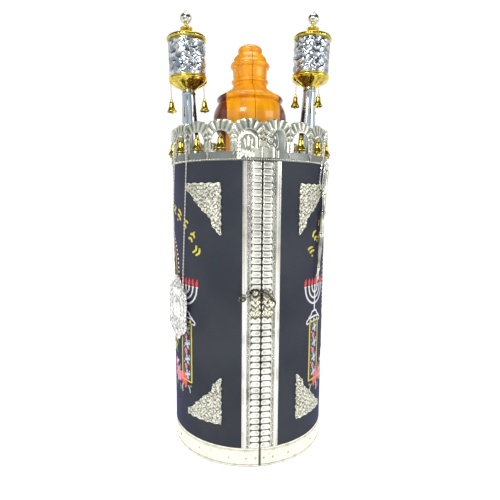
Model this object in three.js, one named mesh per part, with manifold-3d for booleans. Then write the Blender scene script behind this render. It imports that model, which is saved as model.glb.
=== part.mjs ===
import * as THREE from "three";
import { mergeVertices } from "three/addons/utils/BufferGeometryUtils.js";
import Module from "manifold-3d";

// A closed scroll case of two hinged half cylinders, in millimetres.
// The seam between the halves faces -Y, the hinges are at +Y and +Z is up.
// Angles are degrees round the case from the front seam, towards +X.

// Driving sizes of the case
const outerRadius = 145;
const sheetThickness = 1.4;
const fitGap = 0.3;
const seamGap = 0.8;
const wallThickness = 12;
const boardThickness = 12;
const caseHeight = 518.7;
const facetAngle = 9;

// Driving sizes of the metal strips and bands
const bandHeight = 34;
const bandLift = 0.5;
const frontStripWidth = 31.6;
const backStripWidth = 26;
const lobeCount = 44;
const lobeLength = 16;
const lobeFill = 0.8;
const lobeRelief = 1.2;
const lobeInset = 1.2;
const lobeNose = 0.7;

// Driving sizes of the corner plates
const cornerPlateInset = 67;
const cornerPlateWidth = 74;
const upperPlateHeight = 84;
const lowerPlateHeight = 83;
const upperPlateDrop = 34.7;
const lowerPlateRise = 40;
const cornerPlateTeeth = 4;
const toothDepth = 3;

// Driving sizes of the crown
const archesPerHalf = 10;
const crownHeight = 64;
const crownBandHeight = 14;
const openingWidth = 34;
const openingDrop = 16.5;
const notchDepth = 9;
const fluteCount = 4;
const fluteRelief = 1.1;
const fanStart = 36;
const colonetteWidth = 4;
const colonetteRelief = 1.6;
const crownBellRadius = 9.5;
const crownBellHeight = 19;
const crownRingRadius = 2.4;

// Driving sizes of the turned dome
const domeFootRadius = 60;
const domeLightWidth = 96;
const domeHeight = 207.7;

// Driving sizes of the finials
const finialOffset = 110.5;
const leftStemLength = 125;
const rightStemLength = 140;
const leftLean = 1.7;
const rightLean = 2.2;
const stemTopRadius = 12;
const stemTaper = 0.045;
const stemFlangeWidth = 4;
const cupHeight = 23;
const drumRadius = 33.8;
const drumHeight = 62;
const rimOverhang = 1.6;
const capHeight = 27;
const knobRadius = 10.5;
const knobHeight = 27;
const finialBellRadius = 9;
const finialBellHeight = 18;
const finialBellDrop = 34;
const linkThickness = 1.8;
const leftBellAngles = [-66, 52, 170];
const rightBellAngles = [-62, 14, 150];

// Driving sizes of the latch
const pivotReach = 11.4;
const pivotDrop = 6;
const catchReach = 16.4;
const catchDrop = 24.5;
const latchPlateWidth = 19;
const latchPlateHeight = 52;
const latchPlateTop = 313;
const hookThickness = 2.5;
const hookBarWidth = 3.2;
const thumbReach = 21.5;
const thumbDrop = 10;
const thumbLoopLength = 14;
const thumbLoopWidth = 9.2;
const pinHeadHeight = 2.2;
const pivotPinRadius = 2;
const catchStudRadius = 3.4;
const pinHeadOverhang = 1.3;
const pinClearance = 0.4;

// Driving sizes of the hinges
const hingeHeights = [120, 400];
const hingeLength = 50;
const hingeLeafWidth = 20;
const knuckleRadius = 4;
const knuckleSink = 1;
const hingePinRadius = 1.8;
const hingeClearance = 0.4;

// Driving sizes of the breastplate and the pointer
const shieldAngle = -67.5;
const shieldWidth = 84;
const shieldHeight = 119;
const shieldDrop = 201.7;
const shieldThickness = 1.8;
const shieldRelief = 1.6;
const shieldStandoff = 2;
const tabletWidth = 14;
const tabletHeight = 22;
const shieldPillarHeight = 42;
const shieldChainAngles = [-72, -54];
const pointerTopAngle = 54;
const pointerTipAngle = 44;
const pointerTopRise = 2.3;
const pointerReach = 214;
const pointerStandoff = 6.4;
const pointerGripRadius = 5.6;
const pointerHandLength = 30;
const pointerLoopShift = 7;
const pointerLoopDrop = 44;
const chainRingRise = 10;
const chainThickness = 2.6;

// Sizes that follow from the driving ones
const sheetInner = outerRadius - sheetThickness;
const woodOuter = sheetInner - fitGap;
const woodInner = woodOuter - wallThickness;
const boardRadius = woodInner - fitGap;
const boardBottom = caseHeight + fitGap;
const boardTop = boardBottom + boardThickness;
const panelBottom = bandHeight + fitGap;
const panelTop = caseHeight - fitGap;
const standHeight = boardTop + fitGap;
const lobeOuter = outerRadius + lobeRelief;
const latchInner = lobeOuter + 2 * fitGap;
const latchOuter = latchInner + sheetThickness;
const crownInner = sheetInner + fitGap;
const crownOuter = crownInner + sheetThickness;
const archPitch = 180 / archesPerHalf;
const archTop = boardBottom + crownHeight;
const openingTop = archTop - openingDrop;
const notchTop = archTop - notchDepth;
const upperPlateTop = caseHeight - upperPlateDrop;
const lowerPlateBottom = bandHeight + lowerPlateRise;
const shieldBottom = caseHeight - shieldDrop - shieldHeight;
const shieldBack = outerRadius + sheetThickness + 2 * fitGap + shieldStandoff;
const pointerTopHeight = caseHeight + pointerTopRise;
const pivotPlace = { x: -pivotReach, z: latchPlateTop - pivotDrop };
const catchPlace = { x: catchReach, z: latchPlateTop - catchDrop };
const knobBase = cupHeight + drumHeight + capHeight + 3 * fitGap;
const hingePlane = outerRadius + fitGap;
const pinAxis = hingePlane + sheetThickness + knuckleRadius - knuckleSink;
const wholeTurn = 360;

const colours = {
  wood: { color: 0x7a4423, roughness: 0.5, metalness: 0 },
  velvet: { color: 0x23263a, roughness: 0.95, metalness: 0 },
  silver: { color: 0xd8d8d4, roughness: 0.25, metalness: 1 },
  polished: { color: 0xb4bac4, roughness: 0.15, metalness: 1 },
  gold: { color: 0xd9a92e, roughness: 0.2, metalness: 1 },
  honey: { color: 0xd98224, roughness: 0.2, metalness: 0 },
  cherry: { color: 0x5a2418, roughness: 0.2, metalness: 0 },
};

const wasm = await Module();
wasm.setup();

// Solids and geometries

function solidFrom(geometry) {
  const bare = geometry.index ? geometry.toNonIndexed() : geometry.clone();
  bare.deleteAttribute("normal");
  bare.deleteAttribute("uv");
  const merged = mergeVertices(bare, 1e-4);
  return new wasm.Manifold(
    new wasm.Mesh({
      numProp: 3,
      vertProperties: merged.attributes.position.array,
      triVerts: new Uint32Array(merged.index.array),
    }),
  );
}

function geometryFrom(solid) {
  const mesh = solid.getMesh();
  const geometry = new THREE.BufferGeometry();
  const positions = new THREE.BufferAttribute(mesh.vertProperties, 3);
  geometry.setAttribute("position", positions);
  geometry.setIndex(new THREE.BufferAttribute(mesh.triVerts, 1));
  geometry.computeVertexNormals();
  return geometry;
}

function join(solids) {
  return solids.reduce((whole, next) => whole.add(next));
}

function cutAll(solid, cutters) {
  return cutters.reduce((left, cutter) => left.subtract(cutter), solid);
}

function piece(name, colour, shape) {
  const geometry = shape.isBufferGeometry ? shape : geometryFrom(shape);
  const mesh = new THREE.Mesh(geometry, new THREE.MeshStandardMaterial(colours[colour]));
  mesh.name = name;
  return mesh;
}

// Places and outlines

const radians = THREE.MathUtils.degToRad;
const degrees = THREE.MathUtils.radToDeg;

function angleOf(length, radius = outerRadius) {
  return degrees(length / radius);
}

function around(radius, angle, height) {
  const turn = radians(angle);
  return new THREE.Vector3(radius * Math.sin(turn), -radius * Math.cos(turn), height);
}

function facetsBetween(from, to) {
  const angles = [from];
  const first = Math.floor(from / facetAngle + 1.001);
  for (let k = first; k * facetAngle < to - 0.01; k++) angles.push(k * facetAngle);
  angles.push(to);
  return angles;
}

function points2(pairs) {
  return pairs.map(([x, y]) => new THREE.Vector2(x, y));
}

function arcPoints(centre, radius, from, to, steps) {
  const list = [];
  for (let k = 0; k <= steps; k++) {
    const turn = radians(from + ((to - from) * k) / steps);
    list.push([centre[0] + radius * Math.cos(turn), centre[1] + radius * Math.sin(turn)]);
  }
  return list;
}

// A curved plate that follows the case between two angles.
function shell(from, to, inner, outer, bottom, top) {
  const angles = facetsBetween(from, to);
  const outside = angles.map((a) => around(outer, a, 0));
  const inside = angles.reverse().map((a) => around(inner, a, 0));
  const shape = new THREE.Shape([...outside, ...inside].map((p) => new THREE.Vector2(p.x, p.y)));
  const geometry = new THREE.ExtrudeGeometry(shape, { depth: top - bottom, bevelEnabled: false });
  return solidFrom(geometry.translate(0, 0, bottom));
}

function halfDisc(radius, bottom, top) {
  const rim = facetsBetween(0, 180).map((a) => around(radius, a, 0));
  const shape = new THREE.Shape(rim.map((p) => new THREE.Vector2(p.x, p.y)));
  const geometry = new THREE.ExtrudeGeometry(shape, { depth: top - bottom, bevelEnabled: false });
  return clearOfSeam(solidFrom(geometry.translate(0, 0, bottom)));
}

function box(width, depth, height, x, y, z) {
  return solidFrom(new THREE.BoxGeometry(width, depth, height).translate(x, y, z));
}

const wide = 2 * outerRadius;
const rightOfSeam = box(wide, 2 * wide, 4 * caseHeight, (wide + seamGap) / 2, 0, caseHeight);

function clearOfSeam(solid) {
  return solid.intersect(rightOfSeam);
}

// A prism that stands out of the case at an angle; its outline lies in the tangent plane.
function prismAt(outline, angle, near, far) {
  const shape = new THREE.Shape(points2(outline));
  const geometry = new THREE.ExtrudeGeometry(shape, { depth: far - near, bevelEnabled: false });
  const turn = radians(angle);
  const along = new THREE.Vector3(Math.cos(turn), Math.sin(turn), 0);
  const outward = around(1, angle, 0);
  const frame = new THREE.Matrix4().makeBasis(along, new THREE.Vector3(0, 0, 1), outward);
  frame.setPosition(around(near, angle, 0));
  return solidFrom(geometry.applyMatrix4(frame));
}

// Turned work about +Z, from a profile that runs up the outside.
function turned(profile, segments) {
  const geometry = new THREE.LatheGeometry(points2(profile), segments);
  return geometry.rotateX(Math.PI / 2);
}

// A tube along a curve, with closed ends.
function tube(route, thickness, sides, steps) {
  const rim = arcPoints([0, 0], thickness / 2, 0, wholeTurn, sides).slice(0, -1);
  const section = new THREE.Shape(points2(rim));
  const path = new THREE.CatmullRomCurve3(route, false, "centripetal");
  return solidFrom(
    new THREE.ExtrudeGeometry(section, { steps, extrudePath: path, bevelEnabled: false }),
  );
}

// A solid made for the right half, mirrored for the left one.
function forSide(side, solid) {
  if (side > 0) return solid;
  return solid.mirror([1, 0, 0]);
}

// Wooden body of one half

function caseWall() {
  return clearOfSeam(shell(0, 180, woodInner, woodOuter, 0, caseHeight));
}

function caseFloor() {
  return halfDisc(boardRadius, 0, boardThickness);
}

function caseTop() {
  return halfDisc(woodOuter, boardBottom, boardTop);
}

// Velvet and metal sheet of one half

function velvetPanel() {
  const from = angleOf(frontStripWidth + fitGap, sheetInner);
  const to = 180 - angleOf(backStripWidth + fitGap, sheetInner);
  return shell(from, to, sheetInner, outerRadius - fitGap, panelBottom, panelTop);
}

// A lobe's outline, a little narrower at its far end.
function lobeOutline(centre, halfHeight) {
  const [near, far] = [-lobeLength / 2, lobeLength / 2];
  return [
    [near, centre - halfHeight],
    [far, centre - halfHeight * lobeNose],
    [far, centre + halfHeight * lobeNose],
    [near, centre + halfHeight],
  ];
}

function frontStrip() {
  const plate = shell(0, angleOf(frontStripWidth), sheetInner, outerRadius, panelBottom, panelTop);
  const pitch = (panelTop - panelBottom) / lobeCount;
  const middle = angleOf(lobeInset + (seamGap + lobeLength) / 2);
  const lobes = [];
  for (let k = 0; k < lobeCount; k++) {
    const centre = panelBottom + (k + 0.5) * pitch;
    const outline = lobeOutline(centre, (pitch * lobeFill) / 2);
    lobes.push(prismAt(outline, middle, outerRadius - sheetThickness, lobeOuter));
  }
  return clearOfSeam(join([plate, ...lobes]));
}

function backStrip() {
  const from = 180 - angleOf(backStripWidth);
  return clearOfSeam(shell(from, 180, sheetInner, outerRadius, panelBottom, panelTop));
}

function bottomBand() {
  return clearOfSeam(shell(0, 180, sheetInner, outerRadius, bandLift, bandHeight));
}

// A corner plate's outline: a square corner and a toothed long side.
function cornerOutline(height, cornerZ, upward) {
  const outline = [
    [0, cornerZ],
    [cornerPlateWidth, cornerZ],
  ];
  for (let k = 1; k < cornerPlateTeeth * 2; k++) {
    const share = k / (cornerPlateTeeth * 2);
    const tooth = k % 2 ? toothDepth : -toothDepth / 3;
    const reach = 1 - share;
    outline.push([cornerPlateWidth * reach + tooth, cornerZ + upward * height * share]);
  }
  outline.push([0, cornerZ + upward * height]);
  return upward > 0 ? outline : outline.reverse();
}

function cornerPlate(height, cornerZ, upward, atBack) {
  const clear = outerRadius + fitGap;
  const start = angleOf(cornerPlateInset, clear);
  const end = start + angleOf(cornerPlateWidth, clear);
  const low = Math.min(cornerZ, cornerZ + upward * height);
  const plate = shell(start, end, clear, clear + sheetThickness, low, low + height);
  const outline = cornerOutline(height, cornerZ, upward);
  const middle = start + angleOf(cornerPlateWidth, clear) / 2;
  const flat = outline.map(([u, z]) => {
    const turn = radians(start + angleOf(u, clear) - middle);
    return [clear * Math.sin(turn), z];
  });
  const cut = plate.intersect(prismAt(flat, middle, outerRadius * 0.8, outerRadius * 1.2));
  return atBack ? cut.mirror([0, 1, 0]) : cut;
}

// Crown of one half

function archAngles() {
  return Array.from({ length: archesPerHalf }, (_, k) => (k + 0.5) * archPitch);
}

function isClosedArch(index) {
  return index === 0 || index === archesPerHalf - 1;
}

function openingOutline() {
  const half = openingWidth / 2;
  const spring = openingTop - half;
  const sill = boardBottom + crownBandHeight;
  return [[-half, sill], [half, sill], ...arcPoints([0, spring], half, 0, 180, 5)];
}

// The waste above two neighbouring arches, either side of their notch.
function notchOutline(halfPitch) {
  const rise = archTop - notchTop;
  const arch = [];
  const steps = 2;
  for (let k = -steps; k <= steps; k++) {
    const away = k / steps;
    arch.push([halfPitch * away, notchTop + rise * Math.sqrt(1 - (1 - Math.abs(away)) ** 2)]);
  }
  return [...arch, [halfPitch, archTop + rise], [-halfPitch, archTop + rise]];
}

// A folded fan over one arch, its folds standing alternately high and low.
function fan(angle) {
  const half = openingWidth / 2;
  const spring = openingTop - half;
  const inner = half + 2;
  const outer = archTop - spring - 1;
  const folds = fluteCount * 2;
  const positions = [];
  const turn = radians(angle);
  const along = new THREE.Vector3(Math.cos(turn), Math.sin(turn), 0);
  const halfPitch = crownOuter * Math.sin(radians(archPitch / 2)) - colonetteWidth / 2;
  const corner = (furthest, k, lift) => {
    const swing = radians(fanStart + ((180 - 2 * fanStart) * k) / folds);
    const reach = Math.min(furthest, halfPitch / Math.abs(Math.cos(swing)));
    const u = reach * Math.cos(swing);
    const out = Math.sqrt(crownOuter ** 2 - u ** 2) + lift;
    return around(out, angle, spring + reach * Math.sin(swing)).addScaledVector(along, u);
  };
  const triangle = (a, b, c) => positions.push(...a, ...b, ...c);
  const quad = (a, b, c, d) => {
    triangle(a, b, c);
    triangle(a, c, d);
  };
  const buried = -sheetThickness / 2;
  const liftOf = (k) => (k % 2 ? fluteRelief : 0.1);
  for (let k = 0; k < folds; k++) {
    const a = corner(inner, k, liftOf(k));
    const b = corner(outer, k, liftOf(k));
    const c = corner(outer, k + 1, liftOf(k + 1));
    const d = corner(inner, k + 1, liftOf(k + 1));
    const [e, f, g, h] = [corner(inner, k, buried), corner(outer, k, buried),
      corner(outer, k + 1, buried), corner(inner, k + 1, buried)];
    quad(a, b, c, d);
    quad(h, g, f, e);
    quad(b, f, g, c);
    quad(d, h, e, a);
    if (k === 0) quad(a, e, f, b);
    if (k === folds - 1) quad(c, g, h, d);
  }
  const geometry = new THREE.BufferGeometry();
  geometry.setAttribute("position", new THREE.BufferAttribute(new Float32Array(positions), 3));
  return solidFrom(geometry);
}

// A bell with its hanging ring, hung with the ring's top at the origin.
function bellSolid(radius, height, segments) {
  const top = -crownRingRadius * 2;
  const clapper = radius * 0.32;
  const profile = [
    [0, top - height - clapper],
    [radius, top - height],
    [radius * 0.6, top - height * 0.6],
    [radius * 0.45, top - height * 0.12],
    [0, top],
  ];
  const ring = new THREE.TorusGeometry(crownRingRadius, linkThickness / 2, 3, 5);
  ring.rotateX(Math.PI / 2).translate(0, 0, -crownRingRadius);
  return solidFrom(turned(profile, segments)).add(solidFrom(ring));
}

function hungAt(bell, place) {
  return bell.translate(place.x, place.y, place.z);
}

function crownBells() {
  const bell = bellSolid(crownBellRadius, crownBellHeight, 6);
  const hangRadius = (crownInner + crownOuter) / 2;
  const open = archAngles().filter((_, index) => !isClosedArch(index));
  return open.map((angle) => hungAt(bell, around(hangRadius, angle, openingTop + sheetThickness)));
}

function colonette(angle) {
  const half = colonetteWidth / 2;
  const outline = [
    [-half, boardBottom],
    [half, boardBottom],
    [half, notchTop - 1],
    [-half, notchTop - 1],
  ];
  return prismAt(outline, angle, crownInner + sheetThickness / 2, crownOuter + colonetteRelief);
}

// The embossed leaf that closes an arch beside the seam.
function closedRelief(angle) {
  const width = openingWidth / 2 + 2;
  const spring = openingTop - openingWidth / 2;
  const low = boardBottom + 1;
  const head = arcPoints([0, spring], width * 0.8, 0, 180, 4);
  const leaf = [[-width * 0.5, low], [width * 0.5, low], ...head];
  const veinTop = spring + width * 0.5;
  const half = colonetteWidth * 0.6;
  const vein = [[-half, low], [half, low], [half / 2, veinTop], [-half / 2, veinTop]];
  const root = crownInner + sheetThickness / 2;
  return [
    prismAt(leaf, angle, root, crownOuter + colonetteRelief),
    prismAt(vein, angle, root, crownOuter + 2 * colonetteRelief),
  ];
}

function crown() {
  const halfPitch = outerRadius * Math.sin(radians(archPitch / 2));
  const wall = shell(0, 180, crownInner, crownOuter, boardBottom, archTop);
  const through = (outline, angle) => prismAt(outline, angle, outerRadius * 0.8, outerRadius * 1.2);
  const cutters = [through(notchOutline(halfPitch), 180)];
  const added = [];
  archAngles().forEach((angle, index) => {
    if (isClosedArch(index)) added.push(...closedRelief(angle));
    else cutters.push(through(openingOutline(), angle));
    if (angle < 90) added.push(fan(angle));
    cutters.push(through(notchOutline(halfPitch), angle - archPitch / 2));
    if (index > 0) added.push(colonette(angle - archPitch / 2));
  });
  const plain = cutAll(wall, cutters);
  return clearOfSeam(join([plain, ...added, ...crownBells()]));
}

// Turned dome of one half, in two woods

function bead(neck, reach, low, high, steps) {
  const list = [];
  for (let k = 0; k <= steps; k++) {
    const share = k / steps;
    list.push([neck + (reach - neck) * Math.sin(Math.PI * share), low + (high - low) * share]);
  }
  return list;
}

// The turning, as shares of the foot's radius and of the dome's height.
const domeShares = [
  [0, 0],
  [1, 0],
  [1, 0.048],
  [0.9, 0.096],
  [0.9, 0.177],
  ...bead(0.983, 1.153, 0.235, 0.504, 4),
  ...bead(0.967, 1.042, 0.509, 0.577, 3),
  [0.7, 0.619],
  [0.5, 0.663],
  ...bead(0.517, 0.583, 0.673, 0.72, 3),
  [0.542, 0.793],
  ...bead(0.55, 0.617, 0.802, 0.865, 2),
  [0.517, 0.899],
  [0.392, 0.938],
  [0.355, 0.947],
  [0.38, 0.957],
  [0.38, 0.976],
  [0.3, 1],
  [0, 1],
];


function domeProfile() {
  return domeShares.map(([out, up]) => [out * domeFootRadius, standHeight + up * domeHeight]);
}

function domeHalf(isLight) {
  const whole = solidFrom(turned(domeProfile(), 18));
  const depth = 4 * domeFootRadius;
  const middle = standHeight + domeHeight / 2;
  const height = 2 * domeHeight;
  if (isLight) {
    const width = domeLightWidth / 2 - seamGap / 2;
    return whole.intersect(box(width, depth, height, seamGap / 2 + width / 2, 0, middle));
  }
  const start = domeLightWidth / 2 + fitGap;
  return whole.intersect(box(depth, depth, height, start + depth / 2, 0, middle));
}

// Finial: stem, cup, drum, cap, knob and hanging bells, about its own axis

function stemProfile(length) {
  const foot = stemTopRadius + stemTaper * length;
  return [
    [0, -length],
    [foot + stemFlangeWidth, -length],
    [foot + stemFlangeWidth, -length + stemFlangeWidth],
    [foot, -length + stemFlangeWidth * 1.5],
    [stemTopRadius, -fitGap],
    [0, -fitGap],
  ];
}

const rimRadius = drumRadius + rimOverhang;

function cupProfile() {
  return [
    [0, 0],
    [stemTopRadius + 2, 0],
    [stemTopRadius + 4, 2],
    [rimRadius * 0.78, cupHeight * 0.45],
    [rimRadius - 2, cupHeight * 0.7],
    [rimRadius, cupHeight * 0.78],
    [rimRadius, cupHeight * 0.94],
    [rimRadius - 1.4, cupHeight],
    [0, cupHeight],
  ];
}

function drumProfile() {
  const low = cupHeight + fitGap;
  return [
    [0, low],
    [drumRadius, low],
    [drumRadius, low + drumHeight],
    [0, low + drumHeight],
  ];
}

function capProfile() {
  const low = cupHeight + drumHeight + 2 * fitGap;
  return [
    [0, low],
    [rimRadius + 0.4, low],
    [rimRadius + 1, low + capHeight * 0.11],
    [rimRadius - 0.6, low + capHeight * 0.24],
    [rimRadius * 0.74, low + capHeight * 0.42],
    [rimRadius * 0.42, low + capHeight * 0.6],
    [rimRadius * 0.3, low + capHeight * 0.72],
    [rimRadius * 0.3, low + capHeight * 0.9],
    [rimRadius * 0.16, low + capHeight],
    [0, low + capHeight],
  ];
}

function knobProfile() {
  const top = knobBase + knobHeight;
  const ball = arcPoints([0, knobBase + knobHeight * 0.46], knobRadius, -65, 65, 4);
  return [
    [0, knobBase],
    [knobRadius * 0.42, knobBase],
    ...ball,
    [knobRadius * 0.2, top - knobHeight * 0.14],
    [knobRadius * 0.24, top - knobHeight * 0.06],
    [knobRadius * 0.1, top],
    [0, top],
  ];
}

// A bell on its fine chain, hung just under the cup's rim.
function finialBell(angle) {
  const start = around(rimRadius - linkThickness / 2, angle, cupHeight * 0.7 - fitGap);
  const end = start.clone().setZ(start.z - finialBellDrop);
  const inRing = end.clone().setZ(end.z - linkThickness);
  const chain = tube([start, inRing], linkThickness, 4, 1);
  const bell = bellSolid(finialBellRadius, finialBellHeight, 6);
  return chain.add(hungAt(bell, end));
}

function finial(side, name, stemLength, lean, bellAngles) {
  const group = new THREE.Group();
  group.add(piece(`${name}_finial_stem`, "polished", turned(stemProfile(stemLength), 14)));
  group.add(piece(`${name}_finial_cup`, "gold", turned(cupProfile(), 14)));
  group.add(piece(`${name}_finial_drum`, "silver", turned(drumProfile(), 20)));
  group.add(piece(`${name}_finial_cap`, "gold", turned(capProfile(), 14)));
  group.add(piece(`${name}_finial_knob`, "silver", turned(knobProfile(), 8)));
  bellAngles.forEach((angle, k) => {
    group.add(piece(`${name}_finial_bell_${k + 1}`, "gold", finialBell(angle)));
  });
  const tilt = radians(lean) * side;
  const foot = stemTopRadius + stemTaper * stemLength + stemFlangeWidth;
  const lift = standHeight + foot * Math.sin(Math.abs(tilt)) + stemLength * Math.cos(tilt);
  group.rotation.y = tilt;
  group.position.set(side * (finialOffset + stemLength * Math.sin(Math.abs(tilt))), 0, lift);
  return group;
}

// Latch: a plate on each half, the catch stud and the hook

function latchPlateOutline(middle) {
  const half = latchPlateWidth / 2;
  const low = latchPlateTop - latchPlateHeight;
  const shares = [[0.6, 0.08], [1, 0.23], [0.55, 0.42], [1, 0.65], [1, 0.88], [0.4, 1]];
  const right = shares.map(([out, up]) => [half * out, low + latchPlateHeight * up]);
  const left = right.map(([u, z]) => [-u, z]).reverse();
  return [[0, low], ...right, ...left].map(([u, z]) => [u + middle, z]);
}

function pinAt(place, radius, headRadius) {
  const hookBack = latchOuter + 2 * pinClearance;
  const headStart = hookBack + hookThickness + pinClearance;
  const root = latchInner;
  const profile = [
    [0, 0],
    [radius, 0],
    [radius, headStart - root],
    [headRadius, headStart - root],
    [headRadius * 0.8, headStart - root + pinHeadHeight * 0.8],
    [0, headStart - root + pinHeadHeight],
  ];
  const pin = turned(profile, 10).rotateX(Math.PI / 2);
  return solidFrom(pin.translate(place.x, -root, place.z));
}

function latchPlate(side) {
  const middle = side * (latchPlateWidth / 2 + seamGap);
  const flank = angleOf(latchPlateWidth + 2 * seamGap);
  const low = latchPlateTop - latchPlateHeight;
  const plate = side > 0 ? shell(0, flank, latchInner, latchOuter, low, latchPlateTop)
    : shell(-flank, 0, latchInner, latchOuter, low, latchPlateTop);
  const outline = latchPlateOutline(middle);
  const cut = plate.intersect(prismAt(outline, 0, outerRadius * 0.8, outerRadius * 1.2));
  const pivotHeadRadius = pivotPinRadius + 2 * pinHeadOverhang;
  if (side < 0) return cut.add(pinAt(pivotPlace, pivotPinRadius, pivotHeadRadius));
  return cut.add(pinAt(catchPlace, catchStudRadius, catchStudRadius + pinHeadOverhang));
}

function flatBar(centreline, width, depth) {
  const route = new THREE.CatmullRomCurve3(centreline.map(([x, z]) => new THREE.Vector3(x, 0, z)));
  const steps = Math.ceil(centreline.length * 1.6);
  const left = [];
  const right = [];
  for (let k = 0; k <= steps; k++) {
    const at = route.getPoint(k / steps);
    const along = route.getTangent(k / steps);
    left.push([at.x - (along.z * width) / 2, at.z + (along.x * width) / 2]);
    right.push([at.x + (along.z * width) / 2, at.z - (along.x * width) / 2]);
  }
  const shape = new THREE.Shape(points2([...right, ...left.reverse()]));
  return new THREE.ExtrudeGeometry(shape, { depth, bevelEnabled: false });
}

function latchHook() {
  const { x, z } = pivotPlace;
  const reachX = catchPlace.x - x;
  const reachZ = catchPlace.z - z;
  const clear = catchStudRadius + pinClearance + hookBarWidth / 2;
  const tip = [catchPlace.x + clear * 0.75, catchPlace.z - clear * 0.95];
  const barLine = [
    [x, z],
    [x + reachX * 0.4, z + hookBarWidth / 2],
    [x + reachX * 0.84, z + reachZ * 0.24],
    [catchPlace.x + clear * 0.95, catchPlace.z + clear * 0.45],
    tip,
  ];
  const thumbLine = [[0, 0], [0.37, 0.26], [0.74, 0.8]].map(([out, down]) => {
    return [x - out * thumbReach, z - down * thumbDrop];
  });
  const bar = solidFrom(flatBar(barLine, hookBarWidth, hookThickness));
  const thumb = solidFrom(flatBar(thumbLine, hookBarWidth, hookThickness));
  const thick = { depth: hookThickness, bevelEnabled: false };
  const oval = (centre, reach, rise) => {
    const rim = arcPoints([0, 0], 1, 0, wholeTurn, 10).slice(0, -1);
    const outline = rim.map(([u, v]) => [centre[0] + reach * u, centre[1] + rise * v]);
    return solidFrom(new THREE.ExtrudeGeometry(new THREE.Shape(points2(outline)), thick));
  };
  const disc = (centre, radius) => oval(centre, radius, radius);
  const loop = [x - thumbReach, z - thumbDrop];
  const eye = disc([x, z], pivotPinRadius + hookBarWidth);
  const rim = oval(loop, thumbLoopLength / 2, thumbLoopWidth / 2);
  const solid = join([bar, thumb, eye, disc(tip, hookBarWidth * 0.65), rim]);
  const wire = hookBarWidth * 0.85;
  const hole = oval(loop, thumbLoopLength / 2 - wire, thumbLoopWidth / 2 - wire);
  const holed = cutAll(solid, [disc([x, z], pivotPinRadius + pinClearance), hole]);
  const back = latchOuter + 2 * pinClearance;
  return geometryFrom(holed).rotateX(Math.PI / 2).translate(0, -back, 0);
}

// Hinges at the back: two leaves and one pin each

function hingeLeafPlate(side, middle) {
  const half = hingeLength / 2;
  const gap = knuckleRadius + hingeClearance;
  const from = 180 - angleOf(hingeLeafWidth + gap, hingePlane);
  const to = 180 - angleOf(gap, hingePlane);
  const plate = shell(from, to, hingePlane, hingePlane + sheetThickness, middle - half, middle + half);
  return forSide(side, plate);
}

function knuckle(low, high, inner) {
  const profile = [[inner, low], [knuckleRadius, low], [knuckleRadius, high], [inner, high]];
  if (inner > 0) profile.push([inner, low]);
  return solidFrom(turned(profile, 10).translate(0, pinAxis, 0));
}

function knuckleTab(side, low, high) {
  const width = knuckleRadius + hingeClearance + 2;
  const middle = (low + high) / 2;
  const y = hingePlane + sheetThickness / 2;
  const x = side * (width / 2 + hingePinRadius + hingeClearance);
  return box(width, sheetThickness, high - low, x, y, middle);
}

function hinge(side, middle) {
  const half = hingeLength / 2;
  const inner = hingeLength * 0.2;
  const leaf = hingeLeafPlate(side, middle);
  if (side > 0) {
    const [low, high] = [middle - inner + hingeClearance, middle + inner - hingeClearance];
    const eye = knuckle(low, high, hingePinRadius + hingeClearance);
    const tab = knuckleTab(side, low, high).subtract(knuckle(low - 1, high + 1, 0));
    return join([leaf, tab, eye]);
  }
  const [bottom, top] = [middle - half, middle + half];
  const pinProfile = [[0, bottom], [hingePinRadius, bottom], [hingePinRadius, top], [0, top]];
  const pin = solidFrom(turned(pinProfile, 8).translate(0, pinAxis, 0));
  const parts = [leaf, pin];
  for (const [low, high] of [[bottom, middle - inner], [middle + inner, top]]) {
    parts.push(knuckle(low, high, 0), knuckleTab(side, low, high));
  }
  return join(parts);
}

// Breastplate on the left half, with its chain

function shieldOutline() {
  const shares = [
    [0, 0],
    [0.34, 0.1],
    [0.72, 0.15],
    [0.96, 0.24],
    [0.9, 0.41],
    [1, 0.57],
    [0.94, 0.75],
    [0.74, 0.82],
    [0.5, 0.86],
    [0.3, 0.96],
    [0, 1],
  ];
  const half = shieldWidth / 2;
  const right = shares.map(([out, up]) => [half * out, shieldBottom + shieldHeight * up]);
  const left = right.slice(1, -1).map(([u, z]) => [-u, z]).reverse();
  return [...right, ...left];
}

function breastplate() {
  const outline = shieldOutline();
  const middle = shieldBottom + shieldHeight / 2;
  const shrunk = outline.map(([u, z]) => [u * 0.86, middle + (z - middle) * 0.88]);
  const face = shieldBack + shieldThickness;
  const plate = prismAt(outline, shieldAngle, shieldBack, face);
  const rim = prismAt(outline, shieldAngle, face - 0.4, face + shieldRelief)
    .subtract(prismAt(shrunk, shieldAngle, face - 1, face + 2 * shieldRelief));
  const added = [plate, rim];
  const deep = face + 1.6 * shieldRelief;
  for (const way of [-1, 1]) {
    const head = arcPoints([tabletWidth * 0.57, tabletHeight], tabletWidth / 2, 0, 180, 3);
    const tablet = [[tabletWidth * 0.07, 0], [tabletWidth * 1.07, 0], ...head];
    const sill = middle - tabletHeight * 0.82;
    const place = tablet.map(([u, z]) => [way * u, sill + z]);
    const foot = middle - shieldPillarHeight * 0.57;
    const pillar = [[0.26, 0], [0.33, 0], [0.32, 1], [0.27, 1]].map(([out, up]) => {
      return [way * out * shieldWidth, foot + up * shieldPillarHeight];
    });
    for (const raised of [place, pillar]) {
      const ordered = way > 0 ? raised : raised.reverse();
      added.push(prismAt(ordered, shieldAngle, face - 0.4, deep));
    }
  }
  const crownShares = [[-0.15, 0.2], [0.15, 0.2], [0.18, 0.31], [0.09, 0.26], [0, 0.34],
    [-0.09, 0.26], [-0.18, 0.31]];
  const crownMark = crownShares.map(([out, up]) => [out * shieldWidth, middle + up * shieldHeight]);
  added.push(prismAt(crownMark, shieldAngle, face - 0.4, deep));
  return join(added);
}

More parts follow.
